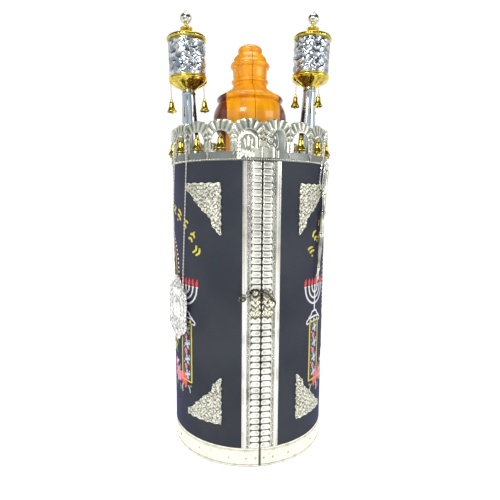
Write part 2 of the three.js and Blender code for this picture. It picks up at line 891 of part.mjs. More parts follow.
function shieldPoint(u, out, height) {
  const turn = radians(shieldAngle);
  const shift = new THREE.Vector3(u * Math.cos(turn), u * Math.sin(turn), 0);
  return around(out, shieldAngle, height).add(shift);
}

// Where a chain lies on a stem: a ring round it, a little above the crown.
function stemRing(side, stemLength, lean) {
  const tilt = radians(lean);
  const foot = stemTopRadius + stemTaper * stemLength + stemFlangeWidth;
  const reach = archTop - standHeight + chainRingRise;
  const down = stemLength - reach;
  const x = side * (finialOffset + reach * Math.sin(tilt));
  const z = standHeight + foot * Math.sin(tilt) + reach * Math.cos(tilt);
  const radius = stemTopRadius + stemTaper * down + 4 * fitGap + chainThickness / 2;
  const torus = new THREE.TorusGeometry(radius, chainThickness / 2, 3, 12);
  const solid = solidFrom(torus.rotateY(side * tilt).translate(x, 0, z));
  return { solid, centre: new THREE.Vector3(x, 0, z), radius };
}

function overNotch(angle, start) {
  const crest = notchTop + chainThickness * 2 + fitGap;
  const out = crownOuter + colonetteRelief + chainThickness / 2 + fitGap;
  return [
    start,
    start.clone().lerp(around(outerRadius, angle, crest), 0.6).setZ(crest + (start.z - crest) * 0.18),
    around(crownInner - chainThickness * 1.5, angle, crest + 1),
    around(out + 1, angle, crest - 0.6),
    around(out + 1.6, angle, crest - notchDepth),
    around(out, angle, boardBottom + chainThickness * 3),
  ];
}

function edgeOf(ring, angle) {
  const aim = around(outerRadius, angle, ring.centre.z).sub(ring.centre).setLength(ring.radius);
  return ring.centre.clone().add(aim);
}

function breastplateChain() {
  const ring = stemRing(-1, leftStemLength, leftLean);
  const parts = [ring.solid];
  const eyeHeight = shieldBottom + shieldHeight * 0.92;
  shieldChainAngles.forEach((angle, k) => {
    const way = k ? 1 : -1;
    const eye = shieldPoint((way * shieldWidth) / 4, shieldBack + shieldThickness / 2, eyeHeight);
    const hangTop = around(outerRadius + chainThickness * 1.3, angle, boardBottom - chainThickness * 3);
    const half = hangTop.clone().lerp(eye, 0.5);
    const route = [...overNotch(angle, edgeOf(ring, angle)), hangTop, half, eye];
    parts.push(tube(route, chainThickness, 4, 26));
  });
  return join(parts);
}

// Pointer on the right half, with its chain

function pointerEnds() {
  return {
    top: around(outerRadius + pointerStandoff + 1, pointerTopAngle, pointerTopHeight),
    tip: around(outerRadius + pointerStandoff, pointerTipAngle, pointerTopHeight - pointerReach),
  };
}

function pointerProfile(length) {
  const grip = pointerGripRadius;
  const ringAt = (share) => [
    [grip * 0.66, length * share - 3],
    [grip * 0.95, length * share],
    [grip * 0.66, length * share + 3],
  ];
  return [
    [0, pointerHandLength - 4],
    [grip * 0.5, pointerHandLength - 4],
    [grip * 0.62, pointerHandLength + 6],
    ...ringAt(0.42),
    ...ringAt(0.6),
    ...ringAt(0.74),
    [grip * 0.85, length - 30],
    [grip, length - 13],
    [grip * 0.55, length - 9],
    [grip * 0.9, length - 5],
    [grip * 0.6, length],
    [0, length + 1],
  ];
}

function pointer() {
  const { top, tip } = pointerEnds();
  const length = top.distanceTo(tip);
  const rod = solidFrom(turned(pointerProfile(length), 8));
  const palm = box(6.4, 4.2, 10, 0, 0, pointerHandLength - 7);
  const finger = box(1.9, 1.9, pointerHandLength - 8, 1.6, 0, (pointerHandLength - 8) / 2);
  const fist = box(4.6, 4.6, 6.4, -0.8, 0, pointerHandLength - 14);
  const solid = join([rod, palm, finger, fist]);
  const mesh = piece("right_pointer", "silver", solid);
  mesh.position.copy(tip);
  mesh.quaternion.setFromUnitVectors(new THREE.Vector3(0, 0, 1), top.clone().sub(tip).normalize());
  return mesh;
}

function pointerChain() {
  const ring = stemRing(1, rightStemLength, rightLean);
  const { top } = pointerEnds();
  const route = [...overNotch(pointerTopAngle, edgeOf(ring, pointerTopAngle))];
  const loopAngle = pointerTopAngle - pointerLoopShift;
  const out = outerRadius + chainThickness * 1.5;
  const heightAt = (share) => top.z - pointerLoopDrop * share;
  route.pop();
  route.push(
    around(out + 1, loopAngle + 1, heightAt(0.18)),
    around(out, loopAngle, heightAt(0.5)),
    around(out, loopAngle, heightAt(0.86)),
    around(out + 1, loopAngle + 1, heightAt(1)),
    around(out + 2, loopAngle + 2, heightAt(0.86)),
    around(out + 4, loopAngle + 2.2, heightAt(0.27)),
    around(out + 4.4, pointerTopAngle - 2, heightAt(-0.09)),
    around(out + 4.4, pointerTopAngle + 0.4, heightAt(-0.08)),
  );
  return join([ring.solid, tube(route, chainThickness * 0.85, 4, 26)]);
}

// The two halves and the latch hook

function halfOfCase(side) {
  const name = side > 0 ? "right" : "left";
  const group = new THREE.Group();
  const add = (label, colour, solid) => group.add(piece(`${name}_${label}`, colour, solid));
  add("case_wall", "wood", forSide(side, caseWall()));
  add("case_floor", "wood", forSide(side, caseFloor()));
  add("case_top", "wood", forSide(side, caseTop()));
  add("velvet", "velvet", forSide(side, velvetPanel()));
  add("front_strip", "silver", forSide(side, frontStrip()));
  add("back_strip", "silver", forSide(side, backStrip()));
  add("bottom_band", "silver", forSide(side, bottomBand()));
  add("crown", "silver", forSide(side, crown()));
  add("dome_light_wood", "honey", forSide(side, domeHalf(true)));
  add("dome_dark_wood", "cherry", forSide(side, domeHalf(false)));
  for (const atBack of [false, true]) {
    const where = atBack ? "back" : "front";
    const upper = cornerPlate(upperPlateHeight, upperPlateTop, -1, atBack);
    const lower = cornerPlate(lowerPlateHeight, lowerPlateBottom, 1, atBack);
    add(`upper_${where}_corner_plate`, "silver", forSide(side, upper));
    add(`lower_${where}_corner_plate`, "silver", forSide(side, lower));
  }
  add("latch_plate", "silver", latchPlate(side));
  hingeHeights.forEach((middle, k) => add(`hinge_leaf_${k + 1}`, "polished", hinge(side, middle)));
  return group;
}

function scrollCase() {
  const left = halfOfCase(-1);
  left.add(finial(-1, "left", leftStemLength, leftLean, leftBellAngles));
  left.add(piece("left_breastplate", "silver", breastplate()));
  left.add(piece("left_breastplate_chain", "silver", breastplateChain()));
  const right = halfOfCase(1);
  right.add(finial(1, "right", rightStemLength, rightLean, rightBellAngles));
  right.add(pointer());
  right.add(piece("right_pointer_chain", "silver", pointerChain()));
  const whole = new THREE.Group();
  whole.add(left, right, piece("latch_hook", "polished", latchHook()));
  return whole;
}

export default scrollCase();
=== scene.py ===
import logging
from dataclasses import dataclass, field
from enum import Enum
from math import atan2, cos, degrees, pi, radians, sin, sqrt

import bmesh
import bpy
import numpy as np
from mathutils import Matrix, Vector


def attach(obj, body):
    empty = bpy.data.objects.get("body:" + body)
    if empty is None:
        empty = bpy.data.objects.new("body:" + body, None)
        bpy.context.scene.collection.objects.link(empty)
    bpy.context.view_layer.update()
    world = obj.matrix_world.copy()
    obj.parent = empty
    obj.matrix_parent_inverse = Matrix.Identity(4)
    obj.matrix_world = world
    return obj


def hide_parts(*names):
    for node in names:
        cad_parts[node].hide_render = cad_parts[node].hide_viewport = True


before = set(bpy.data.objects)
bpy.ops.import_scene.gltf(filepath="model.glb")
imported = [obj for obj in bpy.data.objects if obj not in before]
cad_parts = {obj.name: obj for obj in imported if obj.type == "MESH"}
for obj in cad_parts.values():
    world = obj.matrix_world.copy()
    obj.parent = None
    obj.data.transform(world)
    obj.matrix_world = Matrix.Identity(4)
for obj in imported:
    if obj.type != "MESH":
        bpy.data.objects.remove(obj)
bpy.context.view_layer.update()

LOG = logging.getLogger("scroll_case")
MM = 0.001
CASE_RADIUS = 145.0
VELVET_FACE = 144.6
Array = np.ndarray
Real = float | Array
Triple = tuple[float, float, float]
Pairs = tuple[tuple[float, float], ...]
Points = list[tuple[float, ...]]
Faces = list[tuple[int, ...]]
Piece = bpy.types.Object


class Side(Enum):
    """The two halves of the case; the value is the sign of X."""

    LEFT = -1
    RIGHT = 1

    @property
    def label(self) -> str:
        """The half's name as the frame's nodes begin."""
        return self.name.lower()

    @property
    def body(self) -> str:
        """The body that the half's pieces move with."""
        return f"{self.label}_half"


# Places on the case, in millimetres and in degrees from the front seam


def unit(value: Array) -> Array:
    """Keep values between 0 and 1."""
    return np.clip(value, 0.0, 1.0)


def hump(off: Array, width: float) -> Array:
    """Fall smoothly from 1 where off is 0, to almost 0 at twice the width."""
    return np.exp(-(off / width) ** 2)


def round_steps(count: int) -> Array:
    """Give even steps round a circle, in radians."""
    return np.linspace(0, 2 * pi, count, endpoint=False)


def grid(along: tuple[float, float, int], up: tuple[float, float, int]) -> list[Array]:
    """Give an even grid's two places, from each way's start, end and count."""
    return np.meshgrid(np.linspace(*along), np.linspace(*up))


def around(radius: Real, angle: Real, height: Real) -> Array:
    """Give points on circles about the case's axis.

    Args:
        radius: Distance from the axis.
        angle: Degrees from the front seam, towards +X.
        height: Height above the floor.

    Returns:
        Points, with X, Y and Z in the last dimension.
    """
    turn = np.radians(angle)
    parts = np.broadcast_arrays(radius * np.sin(turn), -radius * np.cos(turn), height)
    return np.stack(parts, axis=-1).astype(float)


def arc_degrees(length: Real, radius: float = CASE_RADIUS) -> Real:
    """Turn a length along the case's surface into degrees."""
    return np.degrees(length / radius)


def stand_at(radius: float, angle: float, height: float, twist: float = 0.0) -> Array:
    """Give a frame that stands on the case's surface.

    Args:
        radius: Distance of its origin from the axis.
        angle: Degrees from the front seam.
        height: Height of its origin.
        twist: Turn about the outward axis, in degrees.

    Returns:
        A 4 by 4 matrix with X along the surface, Y up and Z outwards.
    """
    turn = radians(angle)
    along = np.array([cos(turn), sin(turn), 0.0])
    up = np.array([0.0, 0.0, 1.0])
    c, s = cos(radians(twist)), sin(radians(twist))
    place = np.eye(4)
    place[:3, 0] = along * c + up * s
    place[:3, 1] = up * c - along * s
    place[:3, 2] = around(1.0, angle, 0.0)
    place[:3, 3] = around(radius, angle, height)
    return place


def smooth_route(points: Points | Array, steps: int) -> Array:
    """Run a rounded line through points.

    Args:
        points: The points that it passes through.
        steps: Number of points in each stretch.

    Returns:
        The points of the line, in order.
    """
    given = np.asarray(points, float)
    ends = np.vstack([2 * given[0] - given[1], given, 2 * given[-1] - given[-2]])
    line = []
    for a, b, c, d in zip(ends[:-3], ends[1:-2], ends[2:-1], ends[3:]):
        for t in np.arange(steps) / steps:
            line.append(0.5 * (2 * b + (c - a) * t + (2 * a - 5 * b + 4 * c - d) * t ** 2
                               + (3 * b - a - 3 * c + d) * t ** 3))
    return np.array([*line, given[-1]])


def even_points(route: Array, pitch: float) -> Array:
    """Space points evenly along a line.

    Args:
        route: Points of the line.
        pitch: Distance wanted between neighbours.

    Returns:
        Points from the line's start to its end.
    """
    lengths = np.concatenate([[0.0], np.cumsum(np.linalg.norm(np.diff(route, axis=0), axis=1))])
    count = max(2, int(round(lengths[-1] / pitch)) + 1)
    at = np.linspace(0.0, lengths[-1], count)
    return np.stack([np.interp(at, lengths, route[:, k]) for k in range(route.shape[1])], axis=-1)


def foliage(s: Array, z: Array, size: float, phase: float = 0.0) -> Array:
    """Height of chased leaf work, from 0 in the ground to 1 on the leaves.

    Args:
        s: Distance along the surface.
        z: Height on the surface.
        size: Width of one leaf.
        phase: Shift of the pattern.

    Returns:
        The height at each point.
    """
    u, v = 2 * pi * s / size + phase, 2 * pi * z / size - phase
    bend = 1.5 * np.sin(0.61 * v + 1.1 * np.sin(0.43 * u)) + 0.6 * np.sin(1.7 * u + v)
    leaf = np.abs(np.sin(0.5 * u + bend) * np.cos(0.5 * v + 1.2 * np.sin(0.55 * u + phase)))
    vein = 0.25 * np.cos(2.9 * u + 2.1 * v + 2 * bend)
    return unit(leaf ** 0.6 + vein * leaf)


# Shader maths and finishes


class Field:
    """A socket of a shader that takes part in written sums."""

    def __init__(self, graph: "Graph", socket: bpy.types.NodeSocket) -> None:
        """Keep the socket and the graph that it is in."""
        self.graph = graph
        self.socket = socket

    def maths(self, operation: str, *values: "Field | float") -> "Field":
        """Add one Math node with these inputs, in order."""
        return self.graph.node("ShaderNodeMath", {"operation": operation}, dict(enumerate(values)))

    def __add__(self, other: "Field | float") -> "Field":
        """Add a value."""
        return self.maths("ADD", self, other)

    __radd__ = __add__

    def __mul__(self, other: "Field | float") -> "Field":
        """Multiply by a value."""
        return self.maths("MULTIPLY", self, other)

    __rmul__ = __mul__

    def __sub__(self, other: "Field | float") -> "Field":
        """Take a value away."""
        return self.maths("SUBTRACT", self, other)

    def __rsub__(self, other: float) -> "Field":
        """Take this from a value."""
        return self.maths("SUBTRACT", other, self)

    def __pow__(self, other: float) -> "Field":
        """Raise to a power."""
        return self.maths("POWER", self, other)

    def __mod__(self, other: float) -> "Field":
        """Keep what is left after whole steps."""
        return self.maths("FLOORED_MODULO", self, other)

    def over(self, low: float, high: float) -> "Field":
        """Rise smoothly from 0 at low to 1 at high."""
        settings = {"interpolation_type": "SMOOTHSTEP"}
        return self.graph.node("ShaderNodeMapRange", settings, {0: self, 1: low, 2: high, 3: 0.0, 4: 1.0})

    def sine(self) -> "Field":
        """Take the sine."""
        return self.maths("SINE", self)

    def absolute(self) -> "Field":
        """Drop the sign."""
        return self.maths("ABSOLUTE", self)


class Graph:
    """The nodes round one shader, of a material or of the surroundings."""

    def __init__(self, owner: bpy.types.Material | bpy.types.World, shader: str) -> None:
        """Start from the shader that the owner comes with."""
        owner.use_nodes = True
        self.tree = owner.node_tree
        self.shader = self.tree.nodes[shader]

    def fill(self, target: bpy.types.NodeSocket, value: "Field | float | tuple") -> None:
        """Link or set one socket.

        Args:
            target: The socket.
            value: A field to link, or a plain value.
        """
        if isinstance(value, Field):
            self.tree.links.new(value.socket, target)
        else:
            target.default_value = value

    def node(self, kind: str, settings: dict | None = None, inputs: dict | None = None,
             output: int | str = 0) -> Field:
        """Add a node of any type.

        Args:
            kind: The node's type.
            settings: Its own settings; stops holds a ramp's places and colours.
            inputs: Values or fields for its sockets, by name or number.
            output: The socket that is given back.

        Returns:
            The output as a field.
        """
        made = self.tree.nodes.new(kind)
        for key, value in (settings or {}).items():
            if key == "stops":
                while len(made.color_ramp.elements) < len(value):
                    made.color_ramp.elements.new(0.5)
                for stop, (place, colour) in zip(made.color_ramp.elements, value):
                    stop.position = place
                    stop.color = colour
            else:
                setattr(made, key, value)
        for key, value in (inputs or {}).items():
            self.fill(made.inputs[key], value)
        return Field(self, made.outputs[output])

    def place(self) -> Field:
        """Give the position on the piece, in metres."""
        return self.node("ShaderNodeTexCoord", output="Object")

    def stretched(self, scale: Triple) -> Field:
        """Give the position, stretched along the axes."""
        return self.node("ShaderNodeVectorMath", {"operation": "MULTIPLY"}, {0: self.place(), 1: scale})

    def axis(self, name: str) -> Field:
        """Give one coordinate of the position, in metres."""
        return self.node("ShaderNodeSeparateXYZ", None, {0: self.place()}, name)

    def wandered(self, scale: float, far: float) -> Field:
        """Give the position, shifted by up to so many metres by a noise."""
        shift = self.mix(self.noise(scale, 2.0), (0, 0, 0, 1), (far, far, far, 1))
        return self.node("ShaderNodeVectorMath", {"operation": "ADD"}, {0: self.place(), 1: shift})

    def noise(self, scale: float, detail: float = 3.0, where: Field | None = None) -> Field:
        """Add a noise of so many waves in a metre, about 0.5 on average."""
        inputs = {"Vector": where or self.place(), "Scale": scale, "Detail": detail}
        return self.node("ShaderNodeTexNoise", None, inputs)

    def cells(self, scale: float, feature: str = "SMOOTH_F1", where: Field | None = None) -> Field:
        """Add a pattern of so many cells in a metre, 0 at their middles or borders."""
        inputs = {"Vector": where or self.place(), "Scale": scale}
        return self.node("ShaderNodeTexVoronoi", {"feature": feature}, inputs)

    def recess(self) -> Field:
        """Give the mark of patina and painted shade that embossed pieces carry, 1 in the ground."""
        return self.node("ShaderNodeAttribute", {"attribute_name": "recess"}, None, "Fac")

    def mix(self, share: Field | float, first: Field | tuple, second: Field | tuple) -> Field:
        """Mix two colours, by the second one's share."""
        return self.node("ShaderNodeMix", {"data_type": "RGBA"}, {0: share, 6: first, 7: second}, 2)

    def bump(self, height: Field, distance: float) -> None:
        """Dent the surface by a height, where 1 is the distance in metres."""
        inputs = {"Height": height, "Distance": distance, "Strength": 1.0}
        self.surface({"Normal": self.node("ShaderNodeBump", None, inputs)})

    def surface(self, values: dict) -> None:
        """Fill sockets of the shader."""
        for key, value in values.items():
            self.fill(self.shader.inputs[key], value)


def tint(red: float, green: float, blue: float) -> tuple[float, float, float, float]:
    """Give a colour from screen values of 0 to 255."""
    return (*[(c / 255) ** 2.2 for c in (red, green, blue)], 1.0)


@dataclass(frozen=True)
class Finish:
    """A finish of one name; each kind draws its own material once."""

    name: str

    def draw(self, graph: Graph) -> None:
        """Fill in the graph; each kind has its own."""
        raise NotImplementedError

    def material(self) -> bpy.types.Material:
        """Give the material, drawn the first time."""
        known = bpy.data.materials.get(self.name)
        if known:
            return known
        made = bpy.data.materials.new(self.name)
        self.draw(Graph(made, "Principled BSDF"))
        return made


@dataclass(frozen=True)
class Silver(Finish):
    """Embossed or plain silver sheet, with random oxide clouds, and patina with painted shade darkening its
    ground.
    """

    bright: tuple = tint(244, 244, 236)
    tarnish: tuple = tint(92, 92, 76)
    shadow: tuple = tint(22, 20, 14)
    gloss: float = 0.16
    grain: float = 240.0
    depth: float = 0.0003
    cloud: float = 0.3
    ground: float = 0.85
    lace: float = 0.0

    def draw(self, graph: Graph) -> None:
        """Mix bright metal with random oxide clouds, with patina and painted shade in the ground and
        painted shadow in the lace's gaps, and chase it finely.
        """
        cloud = graph.noise(28.0, 4.0)
        fine = graph.noise(self.grain, 3.0)
        chased = graph.cells(self.grain * 0.9)
        ground = graph.recess()
        # Random oxide clouds, with patina and painted shade where the ground mark is high.
        oxide_and_shade_share = (cloud.over(0.42, 0.72) * self.cloud) + (ground * self.ground)
        colour = graph.mix(oxide_and_shade_share, self.bright, self.tarnish)
        if self.lace:
            gaps = graph.cells(self.lace, "DISTANCE_TO_EDGE", graph.wandered(self.lace * 0.8, 0.01))
            colour = graph.mix((1 - gaps.over(0.04, 0.18)) * (ground * 0.75 + 0.25), colour, self.shadow)
            chased = gaps.over(0.0, 0.3) + chased * 0.3
        graph.surface({
            "Base Color": colour,
            "Roughness": fine * 0.16 + ground * 0.12 + self.gloss - 0.06,
            "Metallic": 1.0,
            "Specular IOR Level": 0.5,
        })
        graph.bump(chased + fine * 0.6, self.depth)


@dataclass(frozen=True)
class Hammered(Finish):
    """Silver with repousse blobs between blue-grey patches, painted reflection and shade."""

    bright: tuple = tint(226, 229, 226)
    cool: tuple = tint(88, 102, 122)
    blobs: float = 125.0

    def draw(self, graph: Graph) -> None:
        """Lay bright blobs over a blue-grey ground of painted reflection and shade."""
        blobs = graph.cells(self.blobs, where=graph.wandered(60.0, 0.012))
        ground = graph.recess()
        share = (blobs.over(0.25, 0.55) * 0.6) + ground * 0.4
        graph.surface({
            "Base Color": graph.mix(share, self.bright, self.cool),
            "Roughness": blobs * 0.14 + 0.12,
            "Metallic": 1.0,
        })
        graph.bump(1 - blobs.over(0.05, 0.6), 0.0011)


@dataclass(frozen=True)
class Polished(Finish):
    """Smooth metal with faint handling marks."""

    colour: tuple = tint(170, 182, 192)
    marked: tuple = tint(124, 134, 146)
    gloss: float = 0.1

    def draw(self, graph: Graph) -> None:
        """Vary the polish a little."""
        marks = graph.noise(70.0, 5.0, graph.stretched((1.0, 1.0, 0.25)))
        fine = graph.noise(900.0, 2.0)
        graph.surface({
            "Base Color": graph.mix(marks.over(0.45, 0.75) * 0.6, self.colour, self.marked),
            "Roughness": marks * 0.14 + self.gloss - 0.03,
            "Metallic": 1.0,
        })
        graph.bump(fine, 0.00002)


@dataclass(frozen=True)
class Gold(Finish):
    """Bright gilt metal, with random darker tone, and patina with painted shade darkening its folds."""

    bright: tuple = tint(216, 196, 88)
    deep: tuple = tint(122, 90, 18)

    def draw(self, graph: Graph) -> None:
        """Mix light and deep gold, with a soft beaten surface."""
        cloud = graph.noise(55.0, 4.0)
        beaten = graph.cells(190.0)
        graph.surface({
            "Base Color": graph.mix(cloud.over(0.4, 0.7) * 0.55 + graph.recess() * 0.5, self.bright,
                                    self.deep),
            "Roughness": cloud * 0.16 + 0.08,
            "Metallic": 1.0,
        })
        graph.bump(beaten, 0.0003)


@dataclass(frozen=True)
class Velvet(Finish):
    """Short dark pile with a bluish bloom at its edges."""

    pile: tuple = tint(54, 57, 64)
    brushed: tuple = tint(67, 70, 76)

    def draw(self, graph: Graph) -> None:
        """Lay brushed patches over the pile."""
        lie = graph.noise(9.0, 4.0)
        tufts = graph.noise(1500.0, 2.0)
        weave = graph.noise(380.0, 3.0)
        graph.surface({
            "Base Color": graph.mix(lie.over(0.35, 0.7) * 0.6 + tufts * 0.3, self.pile, self.brushed),
            "Roughness": tufts * 0.12 + 0.84,
            "Sheen Weight": 0.6,
            "Sheen Roughness": 0.3,
            "Sheen Tint": tint(96, 84, 176),
            "Specular IOR Level": 0.12,
        })
        graph.bump(tufts + weave * 0.8, 0.00035)


@dataclass(frozen=True)
class Thread(Finish):
    """Satin stitch in one colour of floss or metal thread."""

    colour: tuple = tint(220, 190, 60)
    turn: float = 0.6
    sheen: float = 0.3
    metal: float = 0.0

    def draw(self, graph: Graph) -> None:
        """Run fine stitches across the thread work."""
        run = (graph.axis("X") + graph.axis("Y")) * (9000.0 * self.turn) + graph.axis("Z") * 9000.0
        stitch = run.sine() * 0.5 + 0.5
        wear = graph.noise(420.0, 3.0)
        dark = tuple(c * 0.55 for c in self.colour[:3]) + (1.0,)
        graph.surface({
            "Base Color": graph.mix(stitch * 0.35 + wear.over(0.45, 0.75) * 0.4, self.colour, dark),
            "Roughness": wear * 0.2 + 0.42 - self.metal * 0.1,
            "Metallic": self.metal,
            "Sheen Weight": self.sheen,
        })
        graph.bump(stitch * 0.7 + wear * 0.5, 0.00025)


@dataclass(frozen=True)
class Varnish(Finish):
    """Turned wood of glued staves under a thick gloss varnish."""

    light: tuple = tint(246, 166, 0)
    dark: tuple = tint(192, 106, 0)
    stave: float = 0.024

    def draw(self, graph: Graph) -> None:
        """Run grain up the turning, and a fine line at each glued joint."""
        grain = graph.noise(70.0, 6.0, graph.stretched((1.0, 1.0, 0.07)))
        pores = graph.noise(480.0, 2.0, graph.stretched((1.0, 1.0, 0.05)))
        cloud = graph.noise(14.0, 3.0)
        along = (graph.axis("X") + self.stave / 2) % self.stave - self.stave / 2
        joint = 1 - along.absolute().over(0.0001, 0.0006)
        share = grain.over(0.3, 0.75) * 0.55 + cloud.over(0.4, 0.7) * 0.35 + joint * 0.5
        graph.surface({
            "Base Color": graph.mix(share, self.light, self.dark),
            "Roughness": pores * 0.12 + 0.24,
            "Specular IOR Level": 0.3,
            "Coat Weight": 0.45,
            "Coat Roughness": 0.05,
            "Coat IOR": 1.55,
        })
        graph.bump(pores * 0.5 + grain * 0.5 - joint * 0.8, 0.00012)


@dataclass(frozen=True)
class PlainWood(Finish):
    """Sanded and oiled wood of the case's wall and boards."""

    light: tuple = tint(176, 118, 70)
    dark: tuple = tint(112, 66, 34)

    def draw(self, graph: Graph) -> None:
        """Run a long grain up the wood, with pores."""
        grain = graph.noise(34.0, 7.0, graph.stretched((1.0, 1.0, 0.06)))
        rings = (graph.axis("X") * 420.0 + grain * 9.0).sine() * 0.5 + 0.5
        pores = graph.noise(620.0, 2.0, graph.stretched((1.0, 1.0, 0.04)))
        graph.surface({
            "Base Color": graph.mix(rings * 0.45 + grain.over(0.35, 0.7) * 0.5, self.light, self.dark),
            "Roughness": pores * 0.2 + 0.42,
        })
        graph.bump(pores + rings * 0.3, 0.00015)


@dataclass(frozen=True)
class PaleFloor(Finish):
    """A plain pale studio floor, with less light in front of the case."""

    colour: tuple = tint(250, 250, 250)
    dim: tuple = tint(228, 228, 228)
    far: tuple = (1.9, 1.9, 1.9, 1.0)

    def draw(self, graph: Graph) -> None:
        """Keep it matte, with the faintest unevenness."""
        cloud = graph.noise(3.0, 2.0)
        near = graph.mix(graph.axis("Y").over(-1.1, -0.3), self.dim, self.colour)
        graph.surface({
            "Base Color": graph.mix(cloud, self.colour, tint(244, 244, 244)),
            "Roughness": cloud * 0.1 + 0.7,
            "Specular IOR Level": 0.2,
            # The floor glows by painted light, dimmer in front of the case and much brighter far off.
            "Emission Color": graph.mix(graph.axis("Y").over(0.9, 3.0), near, self.far),
            "Emission Strength": 0.55,
        })


STRIP_SILVER = Silver("strip_silver", tint(255, 255, 246), tint(58, 55, 40), grain=260.0, depth=0.0001,
                      cloud=0.22, ground=0.95)
BAND_SILVER = Silver("band_silver", tint(246, 244, 226), tint(60, 56, 42), grain=200.0, depth=0.00006,
                     gloss=0.26, cloud=0.1)
# A greyer copy of the silver: its greyness is painted shade for the crown's darker reflection.
SHADED_CROWN_SILVER = Silver("crown_silver", tint(208, 211, 196), tint(80, 84, 74), grain=300.0, depth=0.00016,
                      gloss=0.24, ground=0.75)
# A grey copy of the silver, its darkness painted shade and reflection, for the band under the arches and
# the right closed arch.
SHADED_SILL_SILVER = Silver("crown_sill_silver", tint(128, 132, 128), tint(88, 92, 88), grain=120.0, depth=0.00005,
                     gloss=0.4, cloud=0.6)
ORNAMENT = Silver("crown_ornament_silver", tint(255, 254, 244), tint(120, 120, 100), grain=300.0,
                  depth=0.0001, gloss=0.2, cloud=0.05)
FILIGREE = Silver("filigree_silver", tint(255, 254, 238), tint(124, 122, 100), lace=150.0, depth=0.0005,
                  gloss=0.32, cloud=0.05, ground=0.6)
PLATE_SILVER = Silver("breastplate_silver", tint(255, 255, 252), tint(110, 110, 100), lace=125.0,
                      depth=0.0004, gloss=0.3, cloud=0.0, ground=0.5)
CHAIN_SILVER = Silver("chain_silver", tint(255, 255, 250), grain=500.0, depth=0.00005, cloud=0.1)
POINTER_SILVER = Silver("pointer_silver", tint(226, 226, 212), grain=420.0, depth=0.0001, cloud=0.7)
DRUM_SILVER = Hammered("drum_silver")
KNOB_SILVER = Silver("knob_silver", tint(222, 222, 210), grain=300.0, depth=0.0001, gloss=0.1)
STEM_METAL = Polished("stem_metal")
# Its darkest tone paints the plates' ground near black, patina and painted shade.
LATCH_METAL = Silver("latch_metal", tint(240, 234, 212), tint(30, 24, 16), grain=420.0, depth=0.0001,
                     gloss=0.14, cloud=0.7)
HOOK_METAL = Polished("hook_metal", tint(92, 88, 78), tint(34, 30, 24), gloss=0.05)
HINGE_METAL = Polished("hinge_metal", tint(186, 188, 184), tint(120, 120, 112), gloss=0.22)
GILT = Gold("gilt_metal")
VELVET = Velvet("navy_velvet")
HONEY = Varnish("honey_wood")
CHERRY = Varnish("cherry_wood", tint(112, 44, 28), tint(74, 24, 14), stave=0.05)
CASE_WOOD = PlainWood("case_wood")
FLOOR = PaleFloor("pale_floor")
THREADS = [
    Thread("gold_thread", tint(236, 220, 70), metal=0.25),
    Thread("white_thread", tint(244, 244, 248)),
    Thread("red_thread", tint(250, 44, 50)),
    Thread("pink_thread", tint(240, 128, 168)),
    Thread("blue_thread", tint(186, 204, 236)),
    Thread("green_thread", tint(96, 138, 84)),
    Thread("brown_thread", tint(128, 92, 52)),
    Thread("dark_thread", tint(30, 24, 44), sheen=0.0),
]


class Floss(Enum):
    """The embroidery's threads, by their place in THREADS."""

    GOLD = 0
    WHITE = 1
    RED = 2
    PINK = 3
    BLUE = 4
    GREEN = 5
    BROWN = 6
    DARK = 7


GOLD, WHITE, RED, PINK, BLUE, GREEN, BROWN, DARK = Floss


# Mesh making


def quads_of(index: Array) -> Faces:
    """List the faces of a grid of point numbers."""
    stacked = np.stack([index[:-1, :-1], index[:-1, 1:], index[1:, 1:], index[1:, :-1]], axis=-1)
    return [tuple(q) for q in stacked.reshape(-1, 4).tolist()]


